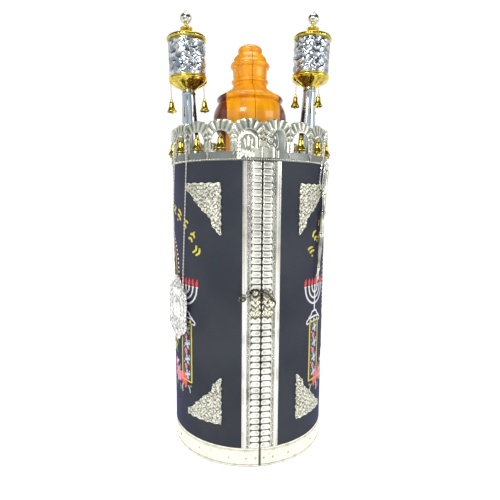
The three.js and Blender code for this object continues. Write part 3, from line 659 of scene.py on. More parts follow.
@dataclass
class Shape:
    """Closed skins in millimetres that become one mesh piece."""

    place: Array = field(default_factory=lambda: np.eye(4))
    mark: int = 0
    points: list[Array] = field(default_factory=list)
    depths: list[Array] = field(default_factory=list)
    faces: Faces = field(default_factory=list)
    marks: list[int] = field(default_factory=list)
    count: int = 0

    def skin(self, points: Array, faces: Faces, depth: Array | None = None) -> None:
        """Add points and faces, at the shape's present place.

        Args:
            points: The points, in the place's frame.
            faces: Faces that number these points from 0.
            depth: Each point's mark of patina and painted shade, from 0 to 1, highest in the ground.
        """
        flat = np.asarray(points, float).reshape(-1, 3)
        moved = flat @ self.place[:3, :3].T + self.place[:3, 3]
        self.points.append(moved)
        self.depths.append(np.zeros(len(flat)) if depth is None else np.asarray(depth, float).ravel())
        self.faces += [tuple(k + self.count for k in f) for f in faces]
        self.marks += [self.mark] * len(faces)
        self.count += len(flat)

    def slab(self, outer: Array, inner: Array, depth: Array | None = None) -> None:
        """Close a sheet between two grids of the same size.

        Args:
            outer: The shown side, as rows of points.
            inner: The hidden side.
            depth: The shown side's marks of patina and painted shade.
        """
        rows, cols = outer.shape[:2]
        number = rows * cols
        front = np.arange(number).reshape(rows, cols)
        faces = quads_of(front) + quads_of(front[:, ::-1] + number)
        rim = np.concatenate([front[0, :-1], front[:-1, -1], front[-1, :0:-1], front[:0:-1, 0]])
        after = np.roll(rim, -1)
        faces += [(a, a + number, b + number, b) for a, b in zip(rim.tolist(), after.tolist())]
        marks = np.zeros((rows, cols)) if depth is None else depth
        both = np.concatenate([outer.reshape(-1, 3), inner.reshape(-1, 3)])
        self.skin(both, faces, np.concatenate([marks.ravel(), marks.ravel()]))

    def lathe(self, profile: Array, segments: int = 32, sway: Array | None = None,
              depth: Array | None = None) -> None:
        """Turn a profile about the place's Z axis.

        Args:
            profile: Rows of radius and height; a radius of 0 at an end closes it in a point.
            segments: Number of steps round.
            sway: What the radius is multiplied by, as rows by segments.
            depth: Marks of patina and painted shade, as rows by segments.
        """
        profile = np.asarray(profile, float)
        turn = round_steps(segments)
        radius = profile[:, :1] * (1.0 if sway is None else sway)
        radius = np.broadcast_to(radius, (len(profile), segments))
        height = np.broadcast_to(profile[:, 1:], radius.shape)
        points = np.stack([radius * np.cos(turn), radius * np.sin(turn), height], axis=-1)
        ring = np.arange(points[..., 0].size).reshape(len(profile), segments)
        ring = np.concatenate([ring, ring[:, :1]], axis=1)
        faces = quads_of(ring)
        closed = np.allclose(profile[0], profile[-1]) and profile[0, 0] > 0
        if closed:
            faces = [tuple(k % ((len(profile) - 1) * segments) for k in f) for f in faces]
        for end, row in ((0, 0), (-1, len(profile) - 1)):
            if profile[end, 0] == 0:
                centre = row * segments
                joined = [[centre if k // segments == row else k for k in f] for f in faces]
                faces = [tuple(dict.fromkeys(f)) for f in joined]
        faces = [f for f in faces if len(f) > 2]
        marks = None if depth is None else np.broadcast_to(depth, radius.shape)
        self.skin(points, faces, marks)

    def ball(self, centre: tuple[float, ...] | Array, size: Triple | float,
             segments: int = 8, rings: int = 5, deep: float = 0.0) -> None:
        """Add a rounded body.

        Args:
            centre: Its middle, in the place's frame.
            size: Its half lengths.
            segments: Steps round.
            rings: Steps up.
            deep: Its mark of patina and painted shade.
        """
        reach = np.broadcast_to(np.asarray(size, float), (3,))
        rise = np.linspace(-pi / 2, pi / 2, rings + 1)
        profile = np.stack([np.cos(rise), np.sin(rise)], axis=-1)
        profile[0, 0] = profile[-1, 0] = 0.0
        kept = self.place
        local = np.eye(4)
        local[:3, :3] = np.diag(reach)
        local[:3, 3] = centre
        self.place = kept @ local
        self.lathe(profile, segments, None, np.full((rings + 1, 1), deep))
        self.place = kept

    def tube(self, route: Array, radius: Real, sides: int = 8, closed: bool = False,
             flat: float = 1.0, up: Triple = (0.31, 0.17, 0.94)) -> None:
        """Sweep a round or flattened section along a line.

        Args:
            route: The line's points.
            radius: The section's half width, one for all or one a point.
            sides: Corners of the section.
            closed: Whether the line comes back to its start.
            flat: The section's other half width, as a share of the first.
            up: A direction that the section's flat side keeps to.
        """
        route = np.asarray(route, float)
        round_trip = np.roll(route, -1, axis=0) - np.roll(route, 1, axis=0)
        ahead = round_trip if closed else np.gradient(route, axis=0)
        ahead /= np.linalg.norm(ahead, axis=1)[:, None]
        guide = np.asarray(up, float)
        first, second = [], []
        for t in ahead:
            guide = guide - t * guide.dot(t)
            if np.linalg.norm(guide) < 1e-6:
                guide = np.cross(t, (1.0, 0.3, 0.1))
            guide = guide / np.linalg.norm(guide)
            first.append(guide)
            second.append(np.cross(t, guide))
        first, second = np.array(first)[:, None], np.array(second)[:, None]
        turn = round_steps(sides)[None, :, None]
        wide = np.broadcast_to(np.asarray(radius, float), (len(route),))[:, None, None]
        points = route[:, None] + wide * (first * np.cos(turn) * flat + second * np.sin(turn))
        ring = np.arange(len(route) * sides).reshape(len(route), sides)
        ring = np.concatenate([ring, ring[:, :1]], axis=1)
        if closed:
            ring = np.concatenate([ring, ring[:1]], axis=0)
        faces = quads_of(ring)
        points = points.reshape(-1, 3)
        if not closed:
            tip = len(points)
            points = np.vstack([points, route[0], route[-1]])
            faces += [(tip, int(b), int(a)) for a, b in zip(ring[0, :-1], ring[0, 1:])]
            faces += [(tip + 1, int(a), int(b)) for a, b in zip(ring[-1, :-1], ring[-1, 1:])]
        self.skin(points, faces)

    def stitch(self, route: Array, width: Real, height: float, base: float = VELVET_FACE) -> None:
        """Lay a raised line of stitches on the case's surface.

        Args:
            route: Rows of degrees from the seam and height.
            width: Its width, one for all or one a point.
            height: How far it stands up.
            base: The radius of the surface.
        """
        flat = np.array(route, float)
        flat[:, 0] = np.radians(flat[:, 0]) * base
        ahead = np.gradient(flat, axis=0)
        ahead /= np.maximum(np.linalg.norm(ahead, axis=1), 1e-9)[:, None]
        beside = np.stack([-ahead[:, 1], ahead[:, 0]], axis=-1)
        half = np.broadcast_to(np.asarray(width, float) / 2, (len(flat),))[:, None]
        offsets, rises = np.array([-1.0, -0.7, 0.0, 0.7, 1.0]), np.array([0.0, 0.75, 1.0, 0.75, 0.0])
        across = flat[:, None] + beside[:, None] * (half * offsets)[..., None]
        angle = np.degrees(across[..., 0] / base)
        outer = around(base + 0.05 + rises * height, angle, across[..., 1])
        self.slab(outer, around(base - 0.3, angle, across[..., 1]))

    def build(self, name: str, finishes: list[Finish], sharp: float = 42.0) -> Piece:
        """Make the mesh object.

        Args:
            name: The piece's name.
            finishes: Its finishes, by the faces' marks.
            sharp: Edges folded by more degrees than this stay sharp.

        Returns:
            The object, in metres.
        """
        mesh = bpy.data.meshes.new(name)
        points = np.concatenate(self.points) * MM
        mesh.from_pydata(points.tolist(), [], self.faces)
        # The mark of patina and painted shade goes to the materials as a point attribute.
        depth = mesh.attributes.new("recess", "FLOAT", "POINT")
        depth.data.foreach_set("value", np.concatenate(self.depths))
        for finish in finishes:
            mesh.materials.append(finish.material())
        mesh.polygons.foreach_set("material_index", self.marks)
        work = bmesh.new()
        work.from_mesh(mesh)
        bmesh.ops.recalc_face_normals(work, faces=work.faces)
        work.to_mesh(mesh)
        work.free()
        mesh.polygons.foreach_set("use_smooth", [True] * len(mesh.polygons))
        mesh.set_sharp_from_angle(angle=radians(sharp))
        made = bpy.data.objects.new(name, mesh)
        bpy.context.scene.collection.objects.link(made)
        return made


@dataclass
class Assembly:
    """A part of one half, whose pieces ride on that half."""

    side: Side

    def angle(self, value: Real) -> Real:
        """Give an angle of the right half for this half."""
        return value * self.side.value

    def show(self, shape: Shape, label: str, finishes: list[Finish], slot: str, nodes: tuple[str, ...] = (),
             sharp: float = 42.0) -> Piece:
        """Make a piece and tie it to its body.

        Args:
            shape: The piece's skins.
            label: Its name without the half's.
            finishes: Its finishes.
            slot: The slot that its finish belongs to; not used.
            nodes: The nodes that it stands for, without the half's name.
            sharp: Edges folded by more degrees than this stay sharp.

        Returns:
            The piece.
        """
        piece = shape.build(f"{self.side.label}_{label}", finishes, sharp)
        if nodes:
            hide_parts(*[f"{self.side.label}_{node}" for node in nodes])
        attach(piece, self.side.body)
        LOG.info("%s: %d faces on %s", piece.name, len(piece.data.polygons), self.side.body)
        return piece


# The case's body


@dataclass
class CaseWood(Assembly):
    """The wooden wall and boards, which keep the frame's own solids."""

    nodes: tuple[str, ...] = ("case_wall", "case_floor", "case_top")

    def dress(self) -> None:
        """Give each solid its wood."""
        for node in self.nodes:
            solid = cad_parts[f"{self.side.label}_{node}"]
            solid.data.materials.clear()
            solid.data.materials.append(CASE_WOOD.material())
            LOG.info("%s keeps its solid", solid.name)


@dataclass
class VelvetCover(Assembly):
    """The velvet that is stretched over one half of the case."""

    inner: float = 143.55
    outer: float = VELVET_FACE
    start: float = 12.72
    end: float = 169.5
    bottom: float = 34.3
    top: float = 518.4

    def build(self, stitched: list[Piece]) -> Piece:
        """Args:
            stitched: The embroidery that lies on it; not used.

        Returns:
            The cloth.
        """
        angle, height = grid((self.start, self.end, 100), (self.bottom, self.top, 60))
        ease = 0.12 * np.sin(angle * 0.21 + height * 0.013) * np.sin(height * 0.021 + angle * 0.05)
        shape = Shape()
        shape.slab(around(self.outer + ease, self.angle(angle), height),
                   around(self.inner, self.angle(angle), height))
        cloth = self.show(shape, "velvet_cover", [VELVET], "velvet", ("velvet",))
        return cloth


@dataclass
class Edging(Assembly):
    """The embossed silver strips along the front seam and the hinges."""

    inner: float = 143.6
    face: float = CASE_RADIUS
    seam: float = 0.4
    front_width: float = 31.6
    back_width: float = 26.0
    bottom: float = 34.3
    top: float = 518.4
    lobes: int = 44
    lobe_start: float = 5.5
    lobe_end: float = 12.0
    lobe_half: float = 5.15
    lobe_relief: float = 1.6
    bead_lines: tuple[float, ...] = (20.4, 22.6)
    bead_pitch: float = 1.9
    bead_radius: float = 0.75
    ridge: float = 26.2
    grooves: tuple[float, ...] = (19.3, 23.8, 28.0, 30.4)
    edge_angle: float = 60.0

    def relief(self, s: Array, z: Array) -> tuple[Array, Array]:
        """Give the height and the marks of patina and painted shade of the front strip.

        Args:
            s: Distance from the seam.
            z: Height.

        Returns:
            How far the surface stands out, and its mark of patina and painted shade: shade in the gaps
            heavier above each lobe, a painted darker reflection in each dish, and darker grooves, bead bed
            and seam fold.
        """
        pitch = (self.top - self.bottom) / self.lobes
        off = ((z - self.bottom) / pitch % 1.0 - 0.5) * pitch
        beyond = np.maximum(s - self.lobe_end, 0.0) + np.maximum(self.lobe_start - s, 0.0) * 1.1
        near = np.hypot(beyond, off) / self.lobe_half
        swell = unit(1 - near ** 3) ** 0.5
        dish = unit(1 - (near / 0.8) ** 2) * 0.5
        ridge = 0.9 * hump(s - self.ridge, 1.2)
        ridge = ridge + 0.3 * hump(s - self.ridge - 3.4, 0.6) + 0.25 * hump(s - 18.4, 0.6)
        fold = unit(1.5 - s)
        height = self.lobe_relief * (swell - dish) + ridge - 1.1 * fold
        # Painted shade in the gaps between the lobes, heavier above each lobe than below it.
        under = 0.72 + 0.28 * np.clip(off / self.lobe_half * 2, -1, 1)
        ground = under * unit((near - 0.82) * 6) * unit((18.6 - s) / 1.2)
        # A painted darker reflection in each lobe's dish, strongest near the seam.
        dish = dish * np.clip(1.7 - s / 9, 0.15, 1.4)
        # Painted shade along the grooves, in the bed of the beads and in the fold at the seam.
        lines = sum(hump(s - at, 0.55) for at in self.grooves)
        bed = 0.85 * np.exp(-((s - 21.5) / 1.9) ** 4)
        return height, unit(np.maximum.reduce([ground, dish * 0.85, lines * 0.7 + bed, fold * 1.4]))

    def front(self) -> Piece:
        """Make the lobed strip beside the front seam."""
        s, z = grid((self.seam, self.front_width, 41), (self.bottom, self.top, self.lobes * 10 + 1))
        height, depth = self.relief(s, z)
        angle = self.angle(arc_degrees(s))
        shape = Shape()
        shape.slab(around(self.face + height, angle, z), around(self.inner, angle, z), depth)
        for line in self.bead_lines:
            for level in np.arange(self.bottom + 1.5, self.top - 1, self.bead_pitch):
                centre = around(self.face + 0.15, self.angle(arc_degrees(line)), level)
                shape.ball(centre, self.bead_radius, 6, 4)
        return self.show(shape, "front_edging", [STRIP_SILVER], "silver_sheet", ("front_strip",),
                         self.edge_angle)

    def back(self) -> Piece:
        """Make the plainer strip beside the hinges."""
        s, z = grid((self.seam, self.back_width, 22), (self.bottom, self.top, 120))
        ribs = 0.6 * hump(s - 22.5, 1.2) + 0.45 * hump(s - 18.5, 0.7)
        wave = 0.25 * np.sin(z * 0.6) * hump(s - 10, 5)
        angle = self.angle(180 - arc_degrees(s))
        shape = Shape()
        shape.slab(around(self.face + ribs + np.abs(wave), angle, z), around(self.inner, angle, z),
                   np.abs(wave))
        return self.show(shape, "back_edging", [STRIP_SILVER], "silver_sheet", ("back_strip",),
                         self.edge_angle)


@dataclass
class BaseBand(Assembly):
    """The plain silver band round the case's foot, nailed on."""

    inner: float = 143.6
    face: float = CASE_RADIUS
    low: float = 0.5
    high: float = 34.0
    rivet_radius: float = 1.9
    rivets: Pairs = ((2.9, 15.5), (9.4, 15.0), (21.4, 15.0), (45.0, 17.0), (68.0, 17.0), (92.0, 16.0),
                     (116.0, 17.0), (140.0, 16.0), (162.0, 17.0), (176.0, 16.0))
    dash_height: float = 28.5
    dash_pitch: float = 3.2

    def build(self) -> Piece:
        """Make the band with its rolled edges, dashes and rivets."""
        angles = np.append([0.16, 0.36, 0.56, 0.8], np.linspace(1.5, 180 - arc_degrees(0.4), 120))
        rises = np.array([0, 0.5, 0.9, 1.5, 2.3, 2.9, 3.5, 4.2, 5, 9, 15, 21, 26, 29, 29.9, 30.5, 31.1,
                          31.8, 32.6, 33.5]) + self.low
        angle, z = np.meshgrid(angles, rises)
        roll = 0.6 * hump(z - self.low - 1.5, 1.1) + 0.45 * hump(z - self.high + 1.2, 0.8)
        waver = 0.12 * np.sin(angle * 0.37) * np.sin(z * 0.19)
        turned = self.angle(angle)
        # The fold at the seam is marked dark as painted shade in its crease.
        fold = unit((1.0 - angle) / 0.4)
        # Faint wavy darker patches, with painted shade in lines along both rolled edges and under the
        # bottom roll.
        patches_and_shade = 0.25 * unit(np.sin(angle * 0.9 + 2) * np.sin(z * 0.3 + angle * 0.23))
        patches_and_shade = patches_and_shade + 0.8 * hump(z - self.low - 3.5, 0.7) + 0.7 * hump(z - self.high + 3.5, 0.6)
        patches_and_shade = unit(patches_and_shade + unit((self.low + 0.9 - z) * 3))
        shape = Shape()
        shape.slab(around(self.face + roll + waver - fold, turned, z), around(self.inner, turned, z),
                   np.maximum(fold, patches_and_shade))
        for spot, height in self.rivets:
            shape.place = stand_at(self.face + 0.05, self.angle(spot), height)
            # Each rivet is marked dark at its foot and pale at its top, painted shade.
            dome = [(0, -0.5), (self.rivet_radius, -0.2), (self.rivet_radius * 0.8, 0.55), (0, 0.85)]
            shape.lathe(dome, 12, None, np.array([[1.0], [1.0], [0.7], [0.2]]))
        # Each dash is marked fully dark, patina and painted shade in the dent.
        for spot in np.arange(4.0, 176.0, degrees(self.dash_pitch / self.face)):
            shape.place = stand_at(self.face + 0.1, self.angle(spot), self.dash_height)
            shape.ball((0, 0, 0), (1.0, 0.4, 0.35), 6, 3, 1.0)
        return self.show(shape, "base_band", [BAND_SILVER], "silver_sheet", ("bottom_band",), sharp=60)


@dataclass
class Filigree(Assembly):
    """One of the pierced-looking corner plates on the velvet."""

    upper: bool = True
    at_back: bool = False
    back: float = 145.3
    inset: float = 67.0
    width: float = 74.0
    top: float = 484.0
    tip: float = 400.0
    low: float = 74.0
    low_tip: float = 157.0
    long_side: Pairs = (
        (0.0, 0.97), (0.05, 1.0), (0.12, 0.99), (0.17, 0.92), (0.2, 0.82), (0.3, 0.72), (0.36, 0.68),
        (0.4, 0.6), (0.5, 0.5), (0.56, 0.43), (0.6, 0.35), (0.68, 0.26), (0.74, 0.22), (0.79, 0.23),
        (0.84, 0.2), (0.9, 0.13), (1.0, 0.03),
    )

    def reach(self, share: Array) -> Array:
        """Give the plate's width up its height.

        Args:
            share: 0 at the square corner, 1 at the tip.

        Returns:
            The width at each share.
        """
        line = np.array(self.long_side)
        teeth = 0.9 * np.sin(share * 61.0) + 0.7 * np.sin(share * 97.0 + 1.0)
        return np.interp(share, line[:, 0], line[:, 1]) * self.width + teeth * unit((1 - share) * 6)

    def build(self) -> Piece:
        """Make the chased plate."""
        corner, tip = (self.top, self.tip) if self.upper else (self.low, self.low_tip)
        across, share = grid((0, 1, 60), (0, 1, 84))
        wave = 0.8 * np.sin(share * 38.0) + 0.6 * np.sin(share * 61.0 + 1.0)
        s = self.inset + across * self.reach(share) + (1 - across) * wave
        z = corner + (tip - corner) * share + 0.9 * (1 - share) ** 8 * np.sin(across * 29.0)
        height = foliage(s, z, 7.5, 0.7 if self.upper else 2.1)
        edge = unit(np.minimum(across, 1 - across) * 9) * unit(share * 14)
        relief = 0.25 + (0.45 + height * 1.3) * (0.35 + 0.65 * edge)
        angle = arc_degrees(s, self.back)
        angle = self.angle(180 - angle if self.at_back else angle)
        shape = Shape()
        inwards = np.minimum(np.minimum(across, 1 - across) * self.reach(share),
                             share * (self.low_tip - self.low))
        rim = unit(1 - inwards / 1.8)
        face = around(self.back + 0.6 + np.maximum(relief, rim * 1.5), angle, z)
        # The ground between the leaves takes patina and painted shade; the rim stays bright.
        shape.slab(face, around(self.back, angle, z), (1 - height) * (1 - rim))
        where = f"{'upper' if self.upper else 'lower'}_{'back' if self.at_back else 'front'}"
        return self.show(shape, f"{where}_filigree", [FILIGREE], "silver_sheet", (f"{where}_corner_plate",),
                         sharp=75)


# Bells and chains


@dataclass
class Bell:
    """A small gilt bell with its ring and clapper, hung from the ring's top."""

    radius: float = 9.5
    height: float = 19.0
    ring: float = 2.4
    wire: float = 0.8

    def hang(self, shape: Shape, place: Array) -> None:
        """Add the bell to a shape.

        Args:
            shape: The shape that it joins.
            place: The frame of the ring's top, with Z up.
        """
        top = -2 * self.ring
        outside = [(0, 0.0), (0.3, 0.0), (0.44, -0.08), (0.5, -0.2), (0.53, -0.36), (0.58, -0.52),
                   (0.66, -0.66), (0.8, -0.8), (0.96, -0.92), (1.0, -0.97), (0.98, -1.0)]
        inside = [(0.9, -0.98), (0.74, -0.82), (0.56, -0.62), (0.46, -0.34), (0.34, -0.14), (0, -0.1)]
        profile = np.array([(r * self.radius, top + z * self.height) for r, z in outside + inside])
        shape.place = place
        shape.lathe(profile, 24)
        shape.ball((0, 0, top - self.height * 1.06), self.radius * 0.26, 8, 6)
        shape.tube([(0, 0, top - self.height * 0.1), (0, 0, top - self.height * 0.95)], 0.5, 5)
        turn = round_steps(14)
        loop = np.stack([self.ring * 0.8 * np.cos(turn), 0 * turn, self.ring * np.sin(turn) - self.ring],
                        axis=-1)
        shape.tube(loop, self.wire, 6, closed=True)
        shape.lathe([(0, top - 0.6), (self.radius * 0.2, top - 0.5), (self.radius * 0.2, top + 0.9),
                     (0, top + 1.1)], 10)


@dataclass
class Chain:
    """A chain of oval wire links along a line."""

    pitch: float = 3.0
    wire: float = 0.42
    length: float = 4.0
    width: float = 2.5
    sides: int = 5

    def lay(self, shape: Shape, route: Array) -> None:
        """Add the links to a shape.

        Args:
            shape: The shape that they join.
            route: The line's points, in the shape's place.
        """
        spots = even_points(np.asarray(route, float), self.pitch)
        ahead = np.gradient(spots, axis=0)
        turn = round_steps(12)
        for k, (spot, way) in enumerate(zip(spots, ahead)):
            way = way / np.linalg.norm(way)
            side = np.cross(way, (0.35, 0.55, 0.76))
            side /= np.linalg.norm(side)
            if k % 2:
                side = np.cross(way, side)
            link = spot + way * (np.cos(turn) * (self.length - 2 * self.wire) / 2)[:, None] \
                + side * (np.sin(turn) * (self.width - 2 * self.wire) / 2)[:, None]
            shape.tube(link, self.wire, self.sides, closed=True)


# Crown of the case


@dataclass
class Crown(Assembly):
    """The silver crown of arches round the case's top, with a bell in each open arch."""

    inner: float = 143.9
    outer: float = 145.3
    bottom: float = 519.0
    sill: float = 533.0
    spring: float = 549.5
    opening: float = 17.0
    notch: float = 574.0
    rise: float = 9.0
    pitch: float = 18.0
    seam: float = 0.16
    arches: int = 10
    flutes: int = 9
    flute_relief: float = 1.2
    bead_radius: float = 1.5
    bead_pitch: float = 3.4
    hang_height: float = 561.4
    bell: Bell = field(default_factory=Bell)
    shape: Shape = field(default_factory=Shape)

    def half_pitch(self) -> float:
        """Give half of an arch's width along the surface."""
        return radians(self.pitch / 2) * self.outer

    def centres(self) -> list[float]:
        """List the arches' middles, in degrees."""
        return [(k + 0.5) * self.pitch for k in range(self.arches)]

    def is_closed(self, index: int) -> bool:
        """Tell whether an arch is closed by leaf work."""
        return index in (0, self.arches - 1)

    def edge(self, bearing: Array) -> Array:
        """Give the arch's outline from its spring point.

        Args:
            bearing: Directions in radians, 0 along the surface.

        Returns:
            The outline's distance in each direction.
        """
        half = self.half_pitch()
        level, upright = np.abs(np.cos(bearing)), np.maximum(np.sin(bearing), 1e-4)
        reach = np.full_like(bearing, 30.0)
        for _ in range(40):
            rise = self.rise * np.sqrt(unit(1 - np.minimum(reach * level / half, 1) ** 2))
            reach = 0.5 * reach + 0.5 * (self.notch + rise - self.spring) / upright
        return np.minimum(reach, half / np.maximum(level, 1e-4))

    def sheet_at(self, centre: float, u: Array, z: Array, lift: Array,
                 depth: Array | None = None) -> None:
        """Add a patch of sheet at distances u from an arch's middle, standing out by lift."""
        angle = self.angle(np.clip(centre + arc_degrees(u, self.outer), self.seam, 180 - self.seam))
        self.shape.slab(around(self.outer + lift, angle, z),
                        around(self.outer + lift * 0.8 - 1.1, angle, z), depth)

    def head(self, centre: float) -> None:
        """Add one arch's fluted head and its jambs."""
        bearing = np.linspace(0, pi, self.flutes * 6 + 1)
        share = np.linspace(0, 1, 9)[:, None]
        reach = self.opening + (self.edge(bearing) - self.opening)[None] * share
        wave = 0.5 + 0.5 * np.cos(bearing * self.flutes * 2)[None]
        fade = unit(share * 5) * unit((1 - share) * 6 + 0.25)
        lift = self.flute_relief * wave * fade + 0.25
        # The grooves between the flutes carry patina and painted shade.
        self.sheet_at(centre, reach * np.cos(bearing), self.spring + reach * np.sin(bearing), lift,
                      (1 - wave) * fade)
        for way in (-1, 1):
            u, z = grid((self.opening, self.half_pitch(), 4), (self.sill, self.spring, 8))
            self.sheet_at(centre, u * way, z, np.full_like(u, 0.25))
        line = np.linspace(0, pi, 25)
        u = np.concatenate([[self.opening], self.opening * np.cos(line), [-self.opening]])
        z = np.concatenate([[self.sill], self.spring + self.opening * np.sin(line), [self.sill]])
        angle = self.angle(np.clip(centre + np.degrees(u / self.outer), 0.7, 179.3))
        self.shape.tube(around(self.outer + 0.5, angle, z), 0.95, 6)

    def stud(self, centre: float, u: float, z: float, size: Triple, lean: float = 0.0) -> None:
        """Add a rounded boss on a closed arch.

        Args:
            centre: The arch's middle, in degrees.
            u: Distance from that middle, away from the seam.
            z: Height.
            size: Its half lengths along, up and out.
            lean: Its turn, in degrees.
        """
        angle = self.angle(centre + degrees(u / self.outer))
        self.shape.place = stand_at(self.outer + 0.7, angle, z, lean * self.side.value)
        self.shape.ball((0, 0, 0), size, 12, 8)
        self.shape.place = np.eye(4)

    def rib(self, centre: float, points: Points, radius: Real) -> None:
        """Add a raised line on a closed arch.

        Args:
            centre: The arch's middle, in degrees.
            points: Distances from that middle, away from the seam, and heights.
            radius: The line's half width.
        """
        route = smooth_route(points, 6)
        angle = self.angle(centre + np.degrees(route[:, 0] / self.outer))
        if np.ndim(radius):
            radius = np.interp(np.linspace(0, 1, len(route)), np.linspace(0, 1, len(radius)), radius)
        self.shape.tube(around(self.outer + 0.7, angle, route[:, 1]), radius, 8)

    def closed(self, centre: float) -> None:
        """Close one arch with a plate and its ornament."""
        across, rise = grid((-1, 1, 24), (0, 1, 24))
        z = self.sill + rise * (self.spring + self.opening - 0.2 - self.sill)
        wide = np.sqrt(np.clip(self.opening ** 2 - np.maximum(z - self.spring, 0) ** 2, 0.05, None))
        u = across * wide
        if self.side is Side.LEFT:
            # The plate behind the garland is marked dark as painted shade in the hollow.
            self.sheet_at(centre, u, z, np.full_like(u, 0.1), np.full_like(u, 0.7))
            self.shape.mark = 2
            self.garland(centre)
            self.shape.mark = 0
        else:
            swell = 1.3 * unit(1 - (u / 16) ** 2) * unit(1 - ((z - 550) / 18) ** 2)
            # The plate takes the grey silver of painted shade and reflection.
            self.shape.mark = 1
            self.sheet_at(centre, u, z, 0.1 + swell)
            self.shape.mark = 0
            self.rib(centre, [(12.6, 538.0), (13.0, 552.0), (12.0, 563.0), (6.0, 569.5)], 0.9)
            self.capital(centre)

    def garland(self, centre: float) -> None:
        """Add a horseshoe rim, a tongue, leaves and a string of growing pearls."""
        turn = np.linspace(pi, 0.35, 9)
        rim = [(-12.3, 537.0), *[(12.3 * cos(t), self.spring + 12.3 * sin(t)) for t in turn]]
        self.rib(centre, rim, np.array([2.4, 2.6, 2.8, 2.0]))
        self.stud(centre, 0.0, 549.0, (2.8, 9.6, 3.0))
        self.stud(centre, -5.4, 546.0, (1.5, 8.0, 1.8), 8)
        self.stud(centre, 5.4, 546.0, (1.5, 8.0, 1.8), -8)
        for u, z, tall in ((9.0, 531.0, 7.0), (3.5, 529.5, 7.0), (-2.0, 529.0, 6.5), (-7.0, 528.5, 5.5)):
            self.stud(centre, u, z, (3.0, tall, 2.4), u)
        for k in range(9):
            share = k / 8
            bearing = 1.15 - 1.15 * min(1.0, share * 2.2)
            z = self.spring + 15.6 * sin(bearing) - max(0.0, share - 0.45) * 46
            size = 2.1 + 2.5 * share
            self.stud(centre, 15.0 * cos(bearing), z, (size, size, size * 0.7))

    def capital(self, centre: float) -> None:
        """Add scrolls and bosses at the side by the seam."""
        for u, z, size in ((-9.6, 560.0, 4.4), (-10.4, 549.5, 4.8), (-9.2, 538.6, 4.4)):
            turn = np.linspace(0.4, 3.2 * pi, 14)
            radius = size * (1 - 0.78 * turn / turn[-1])
            points = [(u + r * cos(t), z + r * sin(t)) for r, t in zip(radius, turn)]
            self.rib(centre, points, np.array([1.25, 1.0, 0.6]))
            self.stud(centre, u, z, (1.5, 1.5, 1.4))
        for u, z in ((-4.6, 566.0), (-3.6, 555.0), (-4.0, 544.0), (-14.6, 555.0), (-14.8, 543.0)):
            self.stud(centre, u, z, (1.9, 3.6, 1.5), 18)
        self.rib(centre, [(-3.5, 536.5), (1.0, 540.0), (1.5, 550.0), (-1.0, 561.0)], 0.8)

    def post(self, angle: float, sides: int = 12) -> None:
        """Add the twisted post between two arches."""
        height = np.linspace(self.bottom + 2, self.notch - 2, 60)
        radius = 1.4 + 0.4 * np.cos(3 * round_steps(sides) + height[:, None] * 0.75)
        rows = [(0, self.bottom + 1), *[(1, z) for z in height], (0, self.notch - 1)]
        end = np.zeros((1, sides))
        self.shape.place = np.eye(4)
        self.shape.place[:3, 3] = around(self.outer + 0.35, self.angle(angle), 0.0)
        # The post's grooves carry patina and painted shade.
        self.shape.lathe(rows, sides, np.vstack([end, radius, end]),
                         np.vstack([end, unit((1.8 - radius) * 1.2), end]))
        self.shape.place = np.eye(4)

    def base(self) -> None:
        """Add the plain band under the arches, its beads and the strip's head."""
        angle, z = grid((self.seam, 180 - self.seam, 150), (self.bottom, self.sill + 0.2, 9))
        lip = 0.5 * hump(z - self.sill + 0.6, 0.7)
        # The band takes the grey silver of painted shade and reflection.
        self.shape.mark = 1
        self.shape.slab(around(self.outer + 0.1 + lip, self.angle(angle), z),
                        around(self.inner, self.angle(angle), z))
        self.shape.mark = 0
        for spot in np.arange(0.9, 179.4, degrees(self.bead_pitch / self.outer)):
            centre = around(self.outer + 0.3, self.angle(spot), self.bottom + 2.2)
            self.shape.ball(centre, self.bead_radius, 7, 5)
        for near_seam, far, top in ((0.4, 19.0, 541.0), (20.5, 27.0, 536.0)):
            s, level = grid((near_seam, far, 14), (self.bottom + 4.5, top, 14))
            share = (s - near_seam) / (far - near_seam)
            swell = 1.3 * np.sin(pi * share) ** 0.5 * unit((top - level) / 3 + 0.3)
            turned = self.angle(arc_degrees(s))
            self.shape.slab(around(self.outer + 0.5 + swell, turned, level),
                            around(self.outer - 0.6, turned, level))

    def build(self) -> list[Piece]:
        """Make the crown's silver and its bells."""
        bells = Shape()
        self.base()
        for index, centre in enumerate(self.centres()):
            self.head(centre)
            if index:
                self.post(centre - self.pitch / 2)
            if self.is_closed(index):
                self.closed(centre)
                continue
            turn = radians(self.angle(centre))
            hung = np.eye(4)
            hung[:2, :2] = [[cos(turn), -sin(turn)], [sin(turn), cos(turn)]]
            hung[:3, 3] = around(VELVET_FACE, self.angle(centre), self.hang_height)
            self.bell.hang(bells, hung)
        silver = self.show(self.shape, "crown_sheet", [SHADED_CROWN_SILVER, SHADED_SILL_SILVER, ORNAMENT], "silver_sheet",
                           ("crown",), sharp=60)
        gold = self.show(bells, "crown_bells", [GILT], "gold_metal", ("crown",))
        return [silver, gold]


# Turned dome on the case's top


